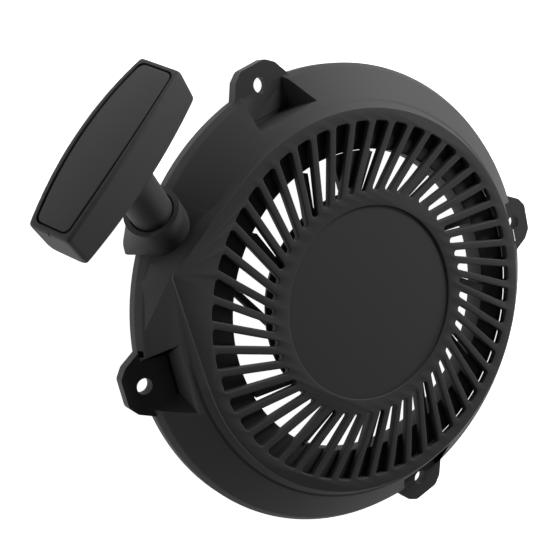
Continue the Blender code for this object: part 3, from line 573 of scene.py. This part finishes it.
def rope_finish():
    """Braided cord: two sets of strands that cross, in uneven grey and brown, with painted shade in the crevices
    between the strands.
    """
    found = bpy.data.materials.get("braided_rope")
    if found:
        return found
    made = bpy.data.materials.new("braided_rope")
    made.use_nodes = True
    tree = made.node_tree
    shader = tree.nodes["Principled BSDF"]
    shader.inputs["Sheen Weight"].default_value = 0.3
    shader.inputs["Specular IOR Level"].default_value = 0.3
    spot = tree.nodes.new("ShaderNodeUVMap")
    spot.uv_map = "rope"
    split = node(tree, "ShaderNodeSeparateXYZ", Vector=spot.outputs[0])
    along = math_node(tree, "MULTIPLY", split.outputs[1], 1.0 / looks().braid_pitch)
    round_ = math_node(tree, "MULTIPLY", split.outputs[0], looks().braid_strands)
    turn = 2 * math.pi
    one = math_node(tree, "SINE", math_node(tree, "MULTIPLY", math_node(tree, "ADD", along, round_), turn))
    apart = math_node(tree, "SUBTRACT", along, round_)
    two = math_node(tree, "SINE", math_node(tree, "MULTIPLY", apart, turn))
    height = math_node(tree, "MAXIMUM", one, two)
    fibre = node(tree, "ShaderNodeTexNoise", Vector=tree.nodes.new("ShaderNodeTexCoord").outputs["Object"],
                 Scale=1500.0, Detail=4.0)
    # the mix follows the braid's height: the crevices between the strands get painted shade and the crowns get the
    # light strand colour; the fibre noise adds uneven tone
    shade = math_node(tree, "ADD", math_node(tree, "MULTIPLY", height, 0.3), fibre.outputs[0], clamp=True)
    tint = node(tree, "ShaderNodeMix", {"data_type": "RGBA"}, i0=shade, i6=(*looks().rope_crease_shade, 1.0),
                i7=(*looks().rope_light, 1.0))
    dent = node(tree, "ShaderNodeBump", Height=height, Distance=0.00025)
    tree.links.new(tint.outputs[2], shader.inputs["Base Color"])
    tree.links.new(dent.outputs["Normal"], shader.inputs["Normal"])
    shader.inputs["Roughness"].default_value = 0.8
    return made


# ---------------------------------------------------------------- cover

def slot_points(index):
    """One slot: the space between two straight bars, round at its inner end."""
    pitch = 360.0 / SLOTS
    middle = SLOT_PHASE + index * pitch

    def on_bar(angle, side, radius):
        offset = SWIRL_R + side * BAR / 2
        return (about_z(angle) @ Vector((math.sqrt(radius ** 2 - offset ** 2), offset, 0.0))).to_2d()

    low, high = middle - pitch / 2, middle + pitch / 2
    corners = [on_bar(low, 1, SLOT_IN_R), on_bar(low, 1, SLOT_OUT_R),
               on_bar(high, -1, SLOT_OUT_R), on_bar(high, -1, SLOT_IN_R)]
    inner = (corners[0] - corners[3]).length * 0.46
    return rounded(corners, (inner, 1.3, 1.3, inner), 5)


def face_points():
    """The rim of the flat face: a circle with one corner drawn out towards the rope collar."""
    radius, angle = face_corner()
    sweep = 360.0 - (WING_AZIMUTH - PULL_AZIMUTH)
    steps = round(sweep / 1.5)
    arc = [polar(FACE_R, WING_AZIMUTH + sweep * i / steps).to_2d() for i in range(steps + 1)]
    tip = polar(radius, angle).to_2d()
    return arc + corner_arc(arc[-1], tip, arc[0], 2.2, 6)


def make_face():
    """The slotted face with its round recess."""
    slots = [slot_points(i) for i in range(SLOTS)]
    ring = plate("cover_face", [face_points(), circle(RECESS_R, steps=FINE), *slots],
                 FACE_Z - FACE_PLATE, FACE_Z, looks().slot_edge * 1000)
    floor = FACE_Z - RECESS_DEPTH
    disc = lathe("recess", [(0.0, floor), (RECESS_R + 0.6, floor), (RECESS_R + 0.6, floor - 2.6),
                            (0.0, floor - 2.6)])
    marks = []
    for i in range(6):
        spot = polar(31.5, 4.0 + 60.0 * i)
        mark = lathe(f"mark_{i}", [(0.0, floor + 0.03), (1.5, floor + 0.03), (1.7, floor - 0.1),
                                   (0.0, floor - 0.1)], 24)
        mark.data.transform(Matrix.Translation(spot * MM))
        marks.append(mark)
    face = join("cover_face", [ring, disc, *marks])
    return fit(face, "cover", "black_moulding", cover_finish(), "face_grille")


def section(inset):
    """The shell's outer profile from under the face down, or its inner one a wall further in."""
    low = -SPARE - inset
    slope = inset * 0.5
    points = [(FACE_R - 6.0, FACE_Z - 1.6 - inset), (FACE_R - 0.15 - inset, FACE_Z - 1.6 - inset),
              (FACE_R + 0.2 - inset, FACE_Z - 1.9 - inset * 0.6),
              (STEP_R - 1.1 - inset, STEP_Z + 0.25 - slope), (STEP_R - inset * 0.6, STEP_Z - 0.3 - inset),
              (SHOULDER_R - inset, SHOULDER_Z - slope), (RIM_R - inset, 4.4 - inset * 0.2), (RIM_R - inset, low)]
    return points, (0, 0, 0, 0.7, 1.6, 5.0, 1.2, 0), low


def turned_shell(name, inset, bore):
    points, radii, low = section(inset)
    profile = outline(points, radii, 5, closed=False)
    return lathe(name, [(bore, profile[0].y), *[tuple(p) for p in profile[1:]], (bore, low)])


def wing(inset):
    """The flank under the corner of the face, beside the rope collar."""
    radius, angle = face_corner()
    top = FACE_Z - 1.4 - inset
    low = -SPARE - 1.0 - inset
    points = []
    for r, a in ((FACE_R, PULL_AZIMUTH), (radius, angle), (FACE_R, WING_AZIMUTH)):
        points.append(polar(r - 0.1 - inset * 1.2, a, top))
    for r, a in ((FACE_R - 9, PULL_AZIMUTH + 6), (FACE_R - 9, WING_AZIMUTH - 6)):
        points += [polar(r, a, top), polar(r, a, low)]
    for r, a, z in ((STEP_R, PULL_AZIMUTH, STEP_Z - 4), (STEP_R, WING_AZIMUTH, STEP_Z - 3),
                    (RIM_R - 2.5, angle - 2, 6.0), (RIM_R - 0.8, angle + 4, 4.0),
                    (RIM_R - 0.8, angle + 18, 4.0)):
        points += [polar(r - inset * 1.2, a, z - inset * 0.4), polar(r - inset * 1.2, a, low)]
    return hull("wing", points)


def pocket(angle, grow=0.0):
    """The tool pocket over an ear."""
    low = EAR_THICK - EAR_PAD - grow
    inner = POCKET_IN_R - EAR_R - grow
    points = [(x * (EAR_HALF - 5.5 + grow), y, low) for x in (-1, 1) for y in (inner, 30.0)]
    points += [(x * (POCKET_TOP_HALF + grow), y, FACE_Z + 4) for x in (-1, 1) for y in (inner - 0.5, 30.0)]
    points += [(x * (EAR_HALF + grow), 30.0, low) for x in (-1, 1)]
    return hull("pocket", [ear_frame(angle) @ Vector(p) for p in points])


def ear(angle):
    """A rounded ear plate."""
    half = EAR_HALF
    points = ((half, -1.5), (half - 4, EAR_REACH - 3), (half - 8, EAR_REACH), (8 - half, EAR_REACH),
              (4 - half, EAR_REACH - 3), (-half, -1.5), (-half + 1, -12.0), (half - 1, -12.0))
    points = outline(points, (3, 2.5, 3, 3, 2.5, 3, 0, 0))
    return plate("ear", [points], -SPARE * 3, EAR_THICK, 0.0, ear_frame(angle))


def collar_foot():
    """The solid below the collar that carries it down to the mounting plane."""
    turn = collar_frame()
    points = [polar(FOOT_R, FOOT_AZIMUTH, 2.5), polar(FOOT_R, FOOT_AZIMUTH, -SPARE * 2)]
    for depth in (-2.5, -16.0):
        for spot in circle(COLLAR_R - 0.4, steps=32):
            at = turn @ Vector((spot.x, spot.y, depth))
            reach = min(1.0, FOOT_R / math.hypot(at.x, at.y))
            points += [at, Vector((at.x * reach, at.y * reach, -SPARE * 2))]
    return hull("foot", points)


def make_shell():
    """The cover's shoulder, rim, ears, tool pockets, rope collar and the flank beside it."""
    place = rope_places()
    turn = collar_frame()
    shell = turned_shell("cover_body", 0.0, 55.0)
    shell = boolean(shell, wing(0.0), "UNION")
    for angle in EAR_ANGLES:
        shell = boolean(shell, pocket(angle))
    shell = boolean(shell, collar_foot(), "UNION")
    shell = boolean(shell, cylinder("collar", COLLAR_R, -20.0, 0.0, turn, MEDIUM), "UNION")
    hollow = turned_shell("hollow", WALL, 50.0)
    hollow = boolean(hollow, wing(WALL), "UNION")
    for angle in EAR_ANGLES:
        hollow = boolean(hollow, pocket(angle, WALL))
    hollow = boolean(hollow, cylinder("kept", COLLAR_R, -20.0, -COLLAR_DEPTH, turn, MEDIUM))
    shell = boolean(shell, hollow)
    shell = boolean(shell, cylinder("bore", FACE_R - 3.4, -30.0, 40.0, steps=FINE))
    shell = boolean(shell, cylinder("mouth", COLLAR_R - COLLAR_WALL, -COLLAR_DEPTH, 5.0, turn, MEDIUM))
    shell = boolean(shell, cylinder("throat", 4.5, -30.0, 1 - COLLAR_DEPTH, turn))
    back = frame_at(place["bend"], -place["out"], (0.0, 0.0, 1.0))
    shell = boolean(shell, cylinder("way", 4.5, -3.0, 40.0, back))
    for angle in EAR_ANGLES:
        shell = boolean(shell, ear(angle), "UNION")
        shell = boolean(shell, cylinder("hole", EAR_HOLE_R, -SPARE * 4, EAR_THICK + SPARE, ear_frame(angle)))
    shell = boolean(shell, block("below", (300.0, 300.0, 40.0), (0.0, 0.0, -20.0)))
    shell = round_edges(shell, looks().shell_edge * 1000, 28.0)
    return fit(shell, "cover", "black_moulding", cover_finish(), "housing_shell")


# ---------------------------------------------------------------- inside mouldings

def make_duct():
    """The duct ring that the fan draws through, and its ledge."""
    low = LEDGE_TOP - LEDGE
    out = DUCT_R + DUCT_WALL
    wide = DUCT_R + 0.7
    points = ((DUCT_EDGE, LEDGE_TOP), (DUCT_EDGE, low), (out, low), (out, DUCT_BOTTOM),
              (wide, DUCT_BOTTOM), (wide, DUCT_STEP - 0.5), (DUCT_R, DUCT_STEP), (DUCT_R, LEDGE_TOP))
    ring = lathe("air_duct", [tuple(p) for p in outline(points, (0.4, 0.4, 1.0, 0.5, 0.4, 0, 0, 0.7), 3)])
    along = math.sqrt(DUCT_R ** 2 - ROPE_OFFSET ** 2)
    height = low - DUCT_BOTTOM
    ring = boolean(ring, block("window", (WINDOW_LONG, ROPE_WINDOW, height), (along, ROPE_OFFSET, DUCT_BOTTOM + height / 2 - 1),
                               about_z(PULL_AZIMUTH)))
    return fit(ring, "cover", "inner_moulding", inner_finish(), "duct_ring")


def make_ribs():
    """The swirled ribs under the grille."""
    low = REEL_TOP + GAP
    high = FACE_Z - FACE_PLATE - 0.02
    out = DUCT_R - 0.1
    inside = CUP_R + CUP_WALL + GAP
    made = [lathe("face_spider", [(inside + 2.2, high), (inside + 2.2, low), (inside, low), (inside, high)])]
    for index in range(RIBS):
        if index == MISSING_RIB:
            continue
        start = math.sqrt((inside + 1.0) ** 2 - SWIRL_R ** 2)
        end = math.sqrt(out ** 2 - (SWIRL_R + RIB_WIDTH / 2) ** 2)
        place = about_z(SLOT_PHASE + index * 360.0 / RIBS) @ Matrix.Translation((0.0, SWIRL_R, 0.0))
        points = ((start, -RIB_WIDTH / 2), (end, -RIB_WIDTH / 2), (end, RIB_WIDTH / 2), (start, RIB_WIDTH / 2))
        rib = plate(f"rib_{index}", [[Vector(p) for p in points]], low, high, 0.2, place)
        made[0] = boolean(made[0], rib, "UNION")
    rib = SLOT_PHASE + WEB_RIB * 360.0 / RIBS
    corners = [(r, rib + math.degrees(math.asin(SWIRL_R / r))) for r in (WEB_IN_R, out)]
    corners += [(out, (corners[1][1] + WEB_ANGLE) / 2), (out, WEB_ANGLE), (WEB_IN_R, WEB_ANGLE)]
    web = hull("web", [polar(r, a, z) for r, a in corners for z in (high - 2.4, high - 0.05)])
    made[0] = boolean(made[0], web, "UNION")
    return fit(made[0], "cover", "inner_moulding", inner_finish(), "face_ribs")


def make_cup():
    """The spring's cup and the post that the reel turns on."""
    high = FACE_Z - RECESS_DEPTH - 2.6 - 0.02
    out = CUP_R + CUP_WALL
    points = ((0.0, high), (out, high), (out, REEL_TOP + GAP), (CUP_R, REEL_TOP + GAP), (CUP_R, CUP_BASE),
              (POST_R, CUP_BASE), (POST_R, POST_BOTTOM), (4.6, POST_BOTTOM), (4.6, 15.0), (0.0, 15.0))
    profile = outline(points, (0, 0.4, 0.4, 0.4, 0.8, 0.8, 0.4, 0.3, 0, 0), 3)
    return fit(lathe("cup_and_post", [tuple(p) for p in profile], MEDIUM), "cover", "inner_moulding",
               inner_finish(), "spring_cup")


# ---------------------------------------------------------------- reel

def make_reel():
    """The rope reel, with the seat for the knot and the holes for the pawl pins."""
    groove_low = REEL_BOTTOM + REEL_FLANGE
    groove_high = REEL_TOP - REEL_FLANGE
    recess = CORE_R - CORE_WALL
    hub = CUP_BASE - GAP
    points = ((REEL_HUB_R, hub), (REEL_HUB_R, REEL_TOP), (REEL_R, REEL_TOP), (REEL_R, groove_high),
              (CORE_R, groove_high), (CORE_R, groove_low), (REEL_LOW_R, groove_low), (REEL_LOW_R, REEL_BOTTOM),
              (recess, REEL_BOTTOM), (recess, RECESS_ROOF), (REEL_HUB_R, RECESS_ROOF), (REEL_HUB_R, PAWL_Z),
              (REEL_BORE, PAWL_Z), (REEL_BORE, hub))
    radii = (0.3, 0.6, 0.5, 0.5, 0.6, 0.6, 0.5, 0.5, 0.5, 0.8, 0.8, 0.3, 0.3, 0.3)
    made = lathe("rope_reel_body", [tuple(p) for p in outline(points, radii, 3)], 192)
    for index in range(2):
        spot = polar(17.0, 180.0 * index)
        made = boolean(made, cylinder("seat", 1.9, RECESS_ROOF - 1, RECESS_ROOF + 3, Matrix.Translation(spot), 24))
    knot = polar(21.5, 312.0)
    made = boolean(made, cylinder("knot_seat", 3.9, 10.9, REEL_TOP + 1, Matrix.Translation(knot), 40))
    return fit(made, "rope_reel", "reel_nylon", nylon_finish(), "reel")


def rope_tube(name, path, radius, steps=20, cap=True):
    """A round cord along a list of points, with its length and turn in a UV map."""
    bm = bmesh.new()
    layer = bm.loops.layers.uv.new("rope")
    rings = []
    run = [0.0]
    for a, b in zip(path, path[1:]):
        run.append(run[-1] + (b - a).length)
    side = Vector((0.0, 0.0, 1.0))
    for i, at in enumerate(path):
        ahead = (path[min(i + 1, len(path) - 1)] - path[max(i - 1, 0)]).normalized()
        side = (side - ahead * side.dot(ahead)).normalized()
        up = ahead.cross(side)
        ring = []
        for s in range(steps):
            turn = 2 * math.pi * s / steps
            ring.append(bm.verts.new(at + (side * math.cos(turn) + up * math.sin(turn)) * radius))
        rings.append(ring)
    for i in range(len(rings) - 1):
        for s in range(steps):
            t = (s + 1) % steps
            face = bm.faces.new((rings[i][s], rings[i][t], rings[i + 1][t], rings[i + 1][s]))
            spots = ((s, i), (s + 1, i), (s + 1, i + 1), (s, i + 1))
            for loop, (around, ring) in zip(face.loops, spots):
                loop[layer].uv = (around / steps, run[ring] * MM)
    if cap:
        bm.faces.new(rings[0][::-1])
        bm.faces.new(rings[-1])
    return from_bmesh(name, bm)


def make_windings():
    """The rope wound on the reel, turn by turn."""
    low = REEL_BOTTOM + REEL_FLANGE + 0.15
    high = REEL_TOP - REEL_FLANGE - 0.15
    radius = (high - low) / 4
    path = []
    steps = 60
    layers = 3
    for layer in range(layers):
        for turn in range(2):
            up = turn if layer % 2 == 0 else 1 - turn
            z = low + radius + up * 2 * radius
            for i in range(steps):
                share = i / steps
                ease = max(0.0, (share - 0.85) / 0.15)
                nxt = z + (2 * radius * (1 if layer % 2 == 0 else -1) if turn == 0 else 0.0)
                at = CORE_R + GAP + radius + layer * radius * 1.9 + (radius * 1.9 * ease if turn else 0.0)
                path.append(polar(at, 312.0 - 360.0 * share, z + (nxt - z) * ease))
    made = rope_tube("rope_windings", path, radius * 0.98, 14)
    return fit(made, "rope_reel", "braided_rope", rope_finish(), "rope_wound")


def knot(name, centre, size, matrix):
    """A stopper knot: three tight rounds of cord over one another."""
    path = []
    steps = 96
    for i in range(steps + 1):
        t = 2 * math.pi * i / steps
        at = Vector((math.sin(t) + 2 * math.sin(2 * t), math.cos(t) - 2 * math.cos(2 * t), -math.sin(3 * t)))
        path.append(matrix @ Vector((at.x * size.x, at.y * size.y, at.z * size.z)) + centre)
    return rope_tube(name, path, 1.05, 12, cap=False)


# ---------------------------------------------------------------- rope and handle

def make_pull_rope():
    """The rope from the reel through the collar into the handle."""
    place = rope_places()
    start = place["leave"] + place["out"] * STRAND_CLEAR
    bend_start = place["bend"] - place["out"] * BEND_REACH
    inner = [start.lerp(bend_start, i / STRAND_STEPS) for i in range(STRAND_STEPS + 1)]
    turn = []
    for i in range(1, 8):
        share = i / 8
        a = place["bend"] - place["out"] * BEND_REACH * (1 - share) ** 2
        turn.append(a + place["pull"] * BEND_REACH * share ** 2)
    knot_at = handle_frame() @ Vector((0.0, 0.0, HANDLE_DEPTH - 11.0 + 1.1))
    strand = rope_tube("reel_rope", inner + turn, ROPE_D / 2)
    fit(strand, "cover", "braided_rope", rope_finish(), "rope_strand")
    begin = place["bend"] + place["pull"] * BEND_REACH
    outer = [begin.lerp(knot_at, i / TAIL_STEPS) for i in range(TAIL_STEPS + 1)]
    tail = rope_tube("pull_rope", outer, ROPE_D / 2)
    tail.data.materials.append(rope_finish())
    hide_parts("rope_tail")
    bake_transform(tail)


def bar_width(x):
    """Half the bar's width, which is largest at its middle."""
    return HANDLE_WIDTH / 2 - HANDLE_BARREL * (2 * x / HANDLE_LENGTH) ** 2


def bar_top(x):
    """Height of the bar's crowned outer face."""
    return HANDLE_DEPTH - CROWN * (2 * x / HANDLE_LENGTH) ** 2


def loft(name, rings, smooth_below=32.0):
    """A solid through rings that have the same number of points, closed at both ends."""
    bm = bmesh.new()
    made = [[bm.verts.new(point) for point in ring] for ring in rings]
    count = len(made[0])
    for a, b in zip(made, made[1:]):
        for i in range(count):
            j = (i + 1) % count
            bm.faces.new((a[i], a[j], b[j], b[i]))
    bm.faces.new(made[0][::-1])
    bm.faces.new(made[-1])
    return from_bmesh(name, bm, smooth_below)


def bar_solid(name, border, low, sunk, edges, end_edge, all_round=0.0):
    """A solid that follows the bar's barrel plan and crown.

    border is taken off its plan, low is its underside and sunk its top's depth below the bar's
    own. edges are the roundings of its lower and upper long edges, and end_edge of its ends;
    all_round rounds the ends' upper and lower edges too.
    """
    half = HANDLE_LENGTH / 2 - border
    steps = 6
    turns = [math.pi / 2 * (1 - i / steps) for i in range(steps)]
    ends = [(end_edge * (1 - math.sin(turn)), end_edge * (1 - math.cos(turn))) for turn in turns]
    inner = half - end_edge
    spots = [(half - back, shrink) for back, shrink in ends]
    spots += [(inner * (1 - i / 24), 0.0) for i in range(49)]
    spots += [(back - half, shrink) for back, shrink in reversed(ends)]
    rings = []
    for x, shrink in spots:
        wide = bar_width(x) - border - shrink
        high = bar_top(x) - sunk - shrink * all_round
        base = low + shrink * all_round
        corners = ((wide, base), (wide, high), (-wide, high), (-wide, base))
        section = outline(corners, (edges[0], edges[1], edges[1], edges[0]), 5)
        rings.append([Vector((x, point.x, point.y)) for point in section])
    return loft(name, rings)


def make_neck():
    """The round neck, which widens in a smooth curve into the bar."""
    low = -HANDLE_GAP - NECK_ENTRY
    sizes = [(NECK_R - 0.8, NECK_R - 0.8, low), (NECK_R, NECK_R, low + 0.8)]
    for i in range(13):
        turn = math.radians(6.5 * i)
        bulge = 1 - math.cos(turn)
        height = (FLARE_HEIGHT + 1.0) * math.sin(turn) - FLARE_HEIGHT
        sizes.append((NECK_R + FLARE_LONG * bulge, NECK_R + FLARE_WIDE * bulge, height))
    sizes.append((*sizes[-1][:2], HANDLE_DEPTH / 4))
    return loft("neck", [[Vector((long * spot.x, wide * spot.y, height)) for spot in circle(1.0, steps=64)]
                         for long, wide, height in sizes])


def placed(made, matrix):
    """Moves a piece's mesh, made in millimetres at the origin, to a place in the frame."""
    move = matrix.copy()
    move.translation = matrix.translation * MM
    made.data.transform(move)
    return made


def make_handle():
    """The T handle: one smooth moulding with a groove round its cover panel."""
    place = handle_frame()
    half = HANDLE_LENGTH / 2
    made = bar_solid("handle_grip", 0.0, 0.0, 0.0, (GRIP_EDGE, HANDLE_EDGE), HANDLE_EDGE, 1.0)
    made = boolean(made, make_neck(), "UNION")
    remesh = made.modifiers.new("skin", "REMESH")
    remesh.mode = "VOXEL"
    remesh.voxel_size = looks().handle_voxel
    melt = made.modifiers.new("melt", "SMOOTH")
    melt.factor = 0.5
    melt.iterations = 8
    made = settle(made, 60.0)
    low = -HANDLE_GAP - NECK_ENTRY
    made = boolean(made, cylinder("bore", ROPE_D / 2 + 0.4, low - 3, HANDLE_DEPTH - 3, steps=32))
    seat = HANDLE_DEPTH - CROWN - PANEL_THICK
    made = boolean(made, bar_solid("seat", PANEL_BORDER, seat, -SPARE, (0.0, 0.0), 2.4))
    for end in (-1, 1):
        notch = block("notch", (1.9, 0.6, 3.4), (end * (half + 0.4), 0.0, HANDLE_DEPTH - CROWN - 0.8))
        made = boolean(made, notch)
    placed(made, place)
    made.data.shade_smooth()
    made.data.set_sharp_from_angle(angle=math.radians(45))
    return fit(made, "handle", "handle_moulding", grip_finish(), "handle_body")


def make_panel():
    """The panel that closes the handle over the knot."""
    low = HANDLE_DEPTH - CROWN - PANEL_THICK + 0.05
    made = bar_solid("handle_panel", PANEL_BORDER + PANEL_GROOVE, low, 0.15, (0.0, 0.35), 2.0)
    placed(made, handle_frame())
    return fit(made, "handle", "cover_panel", panel_finish(), "handle_cover")


# ---------------------------------------------------------------- stage

def make_stage():
    """A wide white floor, a soft overhead light and three more area lights."""
    size = 6.0
    bm = bmesh.new()
    bmesh.ops.create_grid(bm, x_segments=1, y_segments=1, size=size)
    mesh = bpy.data.meshes.new("floor")
    bm.to_mesh(mesh)
    bm.free()
    floor = bpy.data.objects.new("floor", mesh)
    floor.location.z = -0.0004
    bpy.context.scene.collection.objects.link(floor)
    white = bpy.data.materials.new("floor_white")
    white.use_nodes = True
    shader = white.node_tree.nodes["Principled BSDF"]
    shader.inputs["Base Color"].default_value = (0.9, 0.9, 0.9, 1.0)
    shader.inputs["Roughness"].default_value = 0.9
    shader.inputs["Specular IOR Level"].default_value = 0.0
    shader.inputs["Emission Color"].default_value = (1.0, 1.0, 1.0, 1.0)
    shader.inputs["Emission Strength"].default_value = looks().floor_glow
    mesh.materials.append(white)
    world = bpy.data.worlds.new("studio")
    world.use_nodes = True
    world.node_tree.nodes["Background"].inputs["Color"].default_value = (1.0, 1.0, 1.0, 1.0)
    world.node_tree.nodes["Background"].inputs["Strength"].default_value = looks().room_light
    bpy.context.scene.world = world
    bpy.context.scene.view_settings.view_transform = "Standard"
    lamp("key_light", (0.2, 1.0, 0.5), 0.45, looks().key_power)
    lamp("fill_light", (-1.0, -0.5, 0.3), 0.5, looks().fill_power)
    lamp("top_light", (0.42, 0.06, 1.05), 0.4, looks().top_power)
    lamp("rim_light", (1.0, 0.25, 0.3), 0.4, looks().rim_power)


def lamp(name, at, size, power):
    data = bpy.data.lights.new(name, "AREA")
    data.shape = "DISK"
    data.size = size
    data.energy = power
    made = bpy.data.objects.new(name, data)
    made.location = at
    made.rotation_euler = (-Vector(at)).to_track_quat("-Z", "Y").to_euler()
    bpy.context.scene.collection.objects.link(made)
    return made


def make_camera():
    """A camera in front of the face, low on the rope's side."""
    data = bpy.data.cameras.new("camera")
    data.sensor_width = 36.0
    data.lens = looks().lens
    data.clip_start = 0.01
    made = bpy.data.objects.new("camera", data)
    right = Vector((0.77931, 0.35344, 0.51745))
    up = Vector((-0.33328, 0.93306, -0.13538))
    turn = Matrix((right, up, right.cross(up))).transposed().to_4x4()
    turn.translation = Vector((-0.2748, -0.0335, 0.3814))
    made.matrix_world = turn
    bpy.context.scene.collection.objects.link(made)
    bpy.context.scene.camera = made


# ---------------------------------------------------------------- add-on

class StarterLooks(bpy.types.PropertyGroup):
    """Sizes and colours that set the starter's finish."""

    cover_colour: FloatVectorProperty(name="Cover colour", description="Colour of the cover's moulding",
                                      subtype="COLOR", default=(0.0055, 0.0055, 0.006), min=0.0, max=1.0)
    cover_roughness: FloatProperty(name="Cover roughness", description="How matt the cover is", default=0.36,
                                   min=0.0, max=1.0, subtype="FACTOR")
    inner_colour: FloatVectorProperty(name="Inner colour", description="Colour of the duct, ribs and cup",
                                      subtype="COLOR", default=(0.017, 0.017, 0.018), min=0.0, max=1.0)
    grip_colour: FloatVectorProperty(name="Grip colour", description="Colour of the T handle",
                                     subtype="COLOR", default=(0.006, 0.006, 0.0062), min=0.0, max=1.0)
    panel_colour: FloatVectorProperty(name="Panel colour", description="Colour of the handle's panel",
                                      subtype="COLOR", default=(0.0085, 0.0085, 0.009), min=0.0, max=1.0)
    # painted shade: the colour laid in the crevices between the rope's strands
    rope_crease_shade: FloatVectorProperty(name="Rope, dark", description="Colour between the rope's strands",
                                   subtype="COLOR", default=(0.03, 0.025, 0.02), min=0.0, max=1.0)
    rope_light: FloatVectorProperty(name="Rope, light", description="Colour of the rope's strands",
                                    subtype="COLOR", default=(0.24, 0.21, 0.17), min=0.0, max=1.0)
    braid_pitch: FloatProperty(name="Braid pitch", description="Length of rope in one crossing of strands",
                               default=0.0022, unit="LENGTH")
    braid_strands: FloatProperty(name="Strands", description="Strands in sight round the rope", default=4.0)
    slot_edge: FloatProperty(name="Slot edge", description="Rounding of the face's and the slots' edges",
                             default=0.0004, unit="LENGTH")
    shell_edge: FloatProperty(name="Shell edge", description="Rounding of the shell's edges",
                              default=0.0005, unit="LENGTH")
    handle_voxel: FloatProperty(name="Handle voxel", description="Fineness of the handle's moulded skin",
                                default=0.0005, unit="LENGTH")
    floor_glow: FloatProperty(name="Floor glow", description="Light given out by the white floor",
                              default=1.0)
    room_light: FloatProperty(name="Room light", description="Even light from all round", default=0.04)
    key_power: FloatProperty(name="Key light", description="Strength of the key light", default=13.0,
                             unit="POWER")
    fill_power: FloatProperty(name="Fill light", description="Strength of the fill light", default=2.2,
                              unit="POWER")
    rim_power: FloatProperty(name="Rim light", description="Strength of the light low on the right",
                             default=2.5, unit="POWER")
    top_power: FloatProperty(name="Top light", description="Strength of the overhead light", default=0.4,
                             unit="POWER")
    lens: FloatProperty(name="Lens", description="Focal length of the camera", default=70.16, unit="CAMERA")


class STARTER_OT_cover(bpy.types.Operator):
    """Build the slotted face and the shell of the cover"""

    bl_idname = "starter.cover"
    bl_label = "Cover"

    def execute(self, context):
        make_face()
        make_shell()
        return {"FINISHED"}


class STARTER_OT_inside(bpy.types.Operator):
    """Build the duct, the ribs and the spring's cup behind the face"""

    bl_idname = "starter.inside"
    bl_label = "Inside mouldings"

    def execute(self, context):
        make_duct()
        make_ribs()
        make_cup()
        return {"FINISHED"}


class STARTER_OT_reel(bpy.types.Operator):
    """Build the reel and the rope wound on it"""

    bl_idname = "starter.reel"
    bl_label = "Reel"

    def execute(self, context):
        make_reel()
        make_windings()
        made = knot("reel_knot", polar(21.5, 312.0, 13.0), Vector((0.82, 0.82, 0.75)), Matrix.Identity(3))
        fit(made, "rope_reel", "braided_rope", rope_finish(), "rope_knot_reel")
        return {"FINISHED"}


class STARTER_OT_metal(bpy.types.Operator):
    """Finish the pawls, springs, screw, bush, washers and other small pieces"""

    bl_idname = "starter.metal"
    bl_label = "Small pieces"

    def execute(self, context):
        finishes = {"zinc_steel": steel_finish(), "spring_steel": spring_finish(), "brass": brass_finish(),
                    "reel_nylon": nylon_finish()}
        for row in frame["record"]["subparts"]:
            made = frame["nodes"][row["node"]]
            if made.hide_render or row["material_slot"] not in finishes:
                continue
            for spot in made.material_slots:
                spot.material = finishes[row["material_slot"]]
        return {"FINISHED"}


class STARTER_OT_handle(bpy.types.Operator):
    """Build the T handle, its panel, its knot and the rope that pulls out"""

    bl_idname = "starter.handle"
    bl_label = "Handle and rope"

    def execute(self, context):
        make_handle()
        make_panel()
        place = handle_frame()
        spot = place @ Vector((0.0, 0.0, HANDLE_DEPTH - 7.0))
        made = knot("handle_knot", spot, Vector((0.8, 0.7, 1.4)), place.to_3x3())
        fit(made, "handle", "braided_rope", rope_finish(), "rope_knot_handle")
        make_pull_rope()
        return {"FINISHED"}


class STARTER_OT_stage(bpy.types.Operator):
    """Set the floor, the lights and the camera"""

    bl_idname = "starter.stage"
    bl_label = "Stage"

    def execute(self, context):
        make_stage()
        make_camera()
        return {"FINISHED"}


OPERATORS = (STARTER_OT_cover, STARTER_OT_inside, STARTER_OT_reel, STARTER_OT_handle, STARTER_OT_metal,
             STARTER_OT_stage)


class STARTER_PT_panel(bpy.types.Panel):
    """Lists the starter's pieces and its looks"""

    bl_label = "Recoil starter"
    bl_idname = "STARTER_PT_panel"
    bl_space_type = "VIEW_3D"
    bl_region_type = "UI"
    bl_category = "Starter"

    def draw(self, context):
        for operator in OPERATORS:
            self.layout.operator(operator.bl_idname)
        for name in StarterLooks.__annotations__:
            self.layout.prop(context.scene.starter_looks, name)


def register():
    for made in (StarterLooks, *OPERATORS, STARTER_PT_panel):
        bpy.utils.register_class(made)
    bpy.types.Scene.starter_looks = PointerProperty(type=StarterLooks)


def unregister():
    del bpy.types.Scene.starter_looks
    for made in (STARTER_PT_panel, *reversed(OPERATORS), StarterLooks):
        bpy.utils.unregister_class(made)


def main():
    register()
    for operator in OPERATORS:
        group_name, name = operator.bl_idname.split(".")
        getattr(getattr(bpy.ops, group_name), name)()


if __name__ == "__main__":
    main()
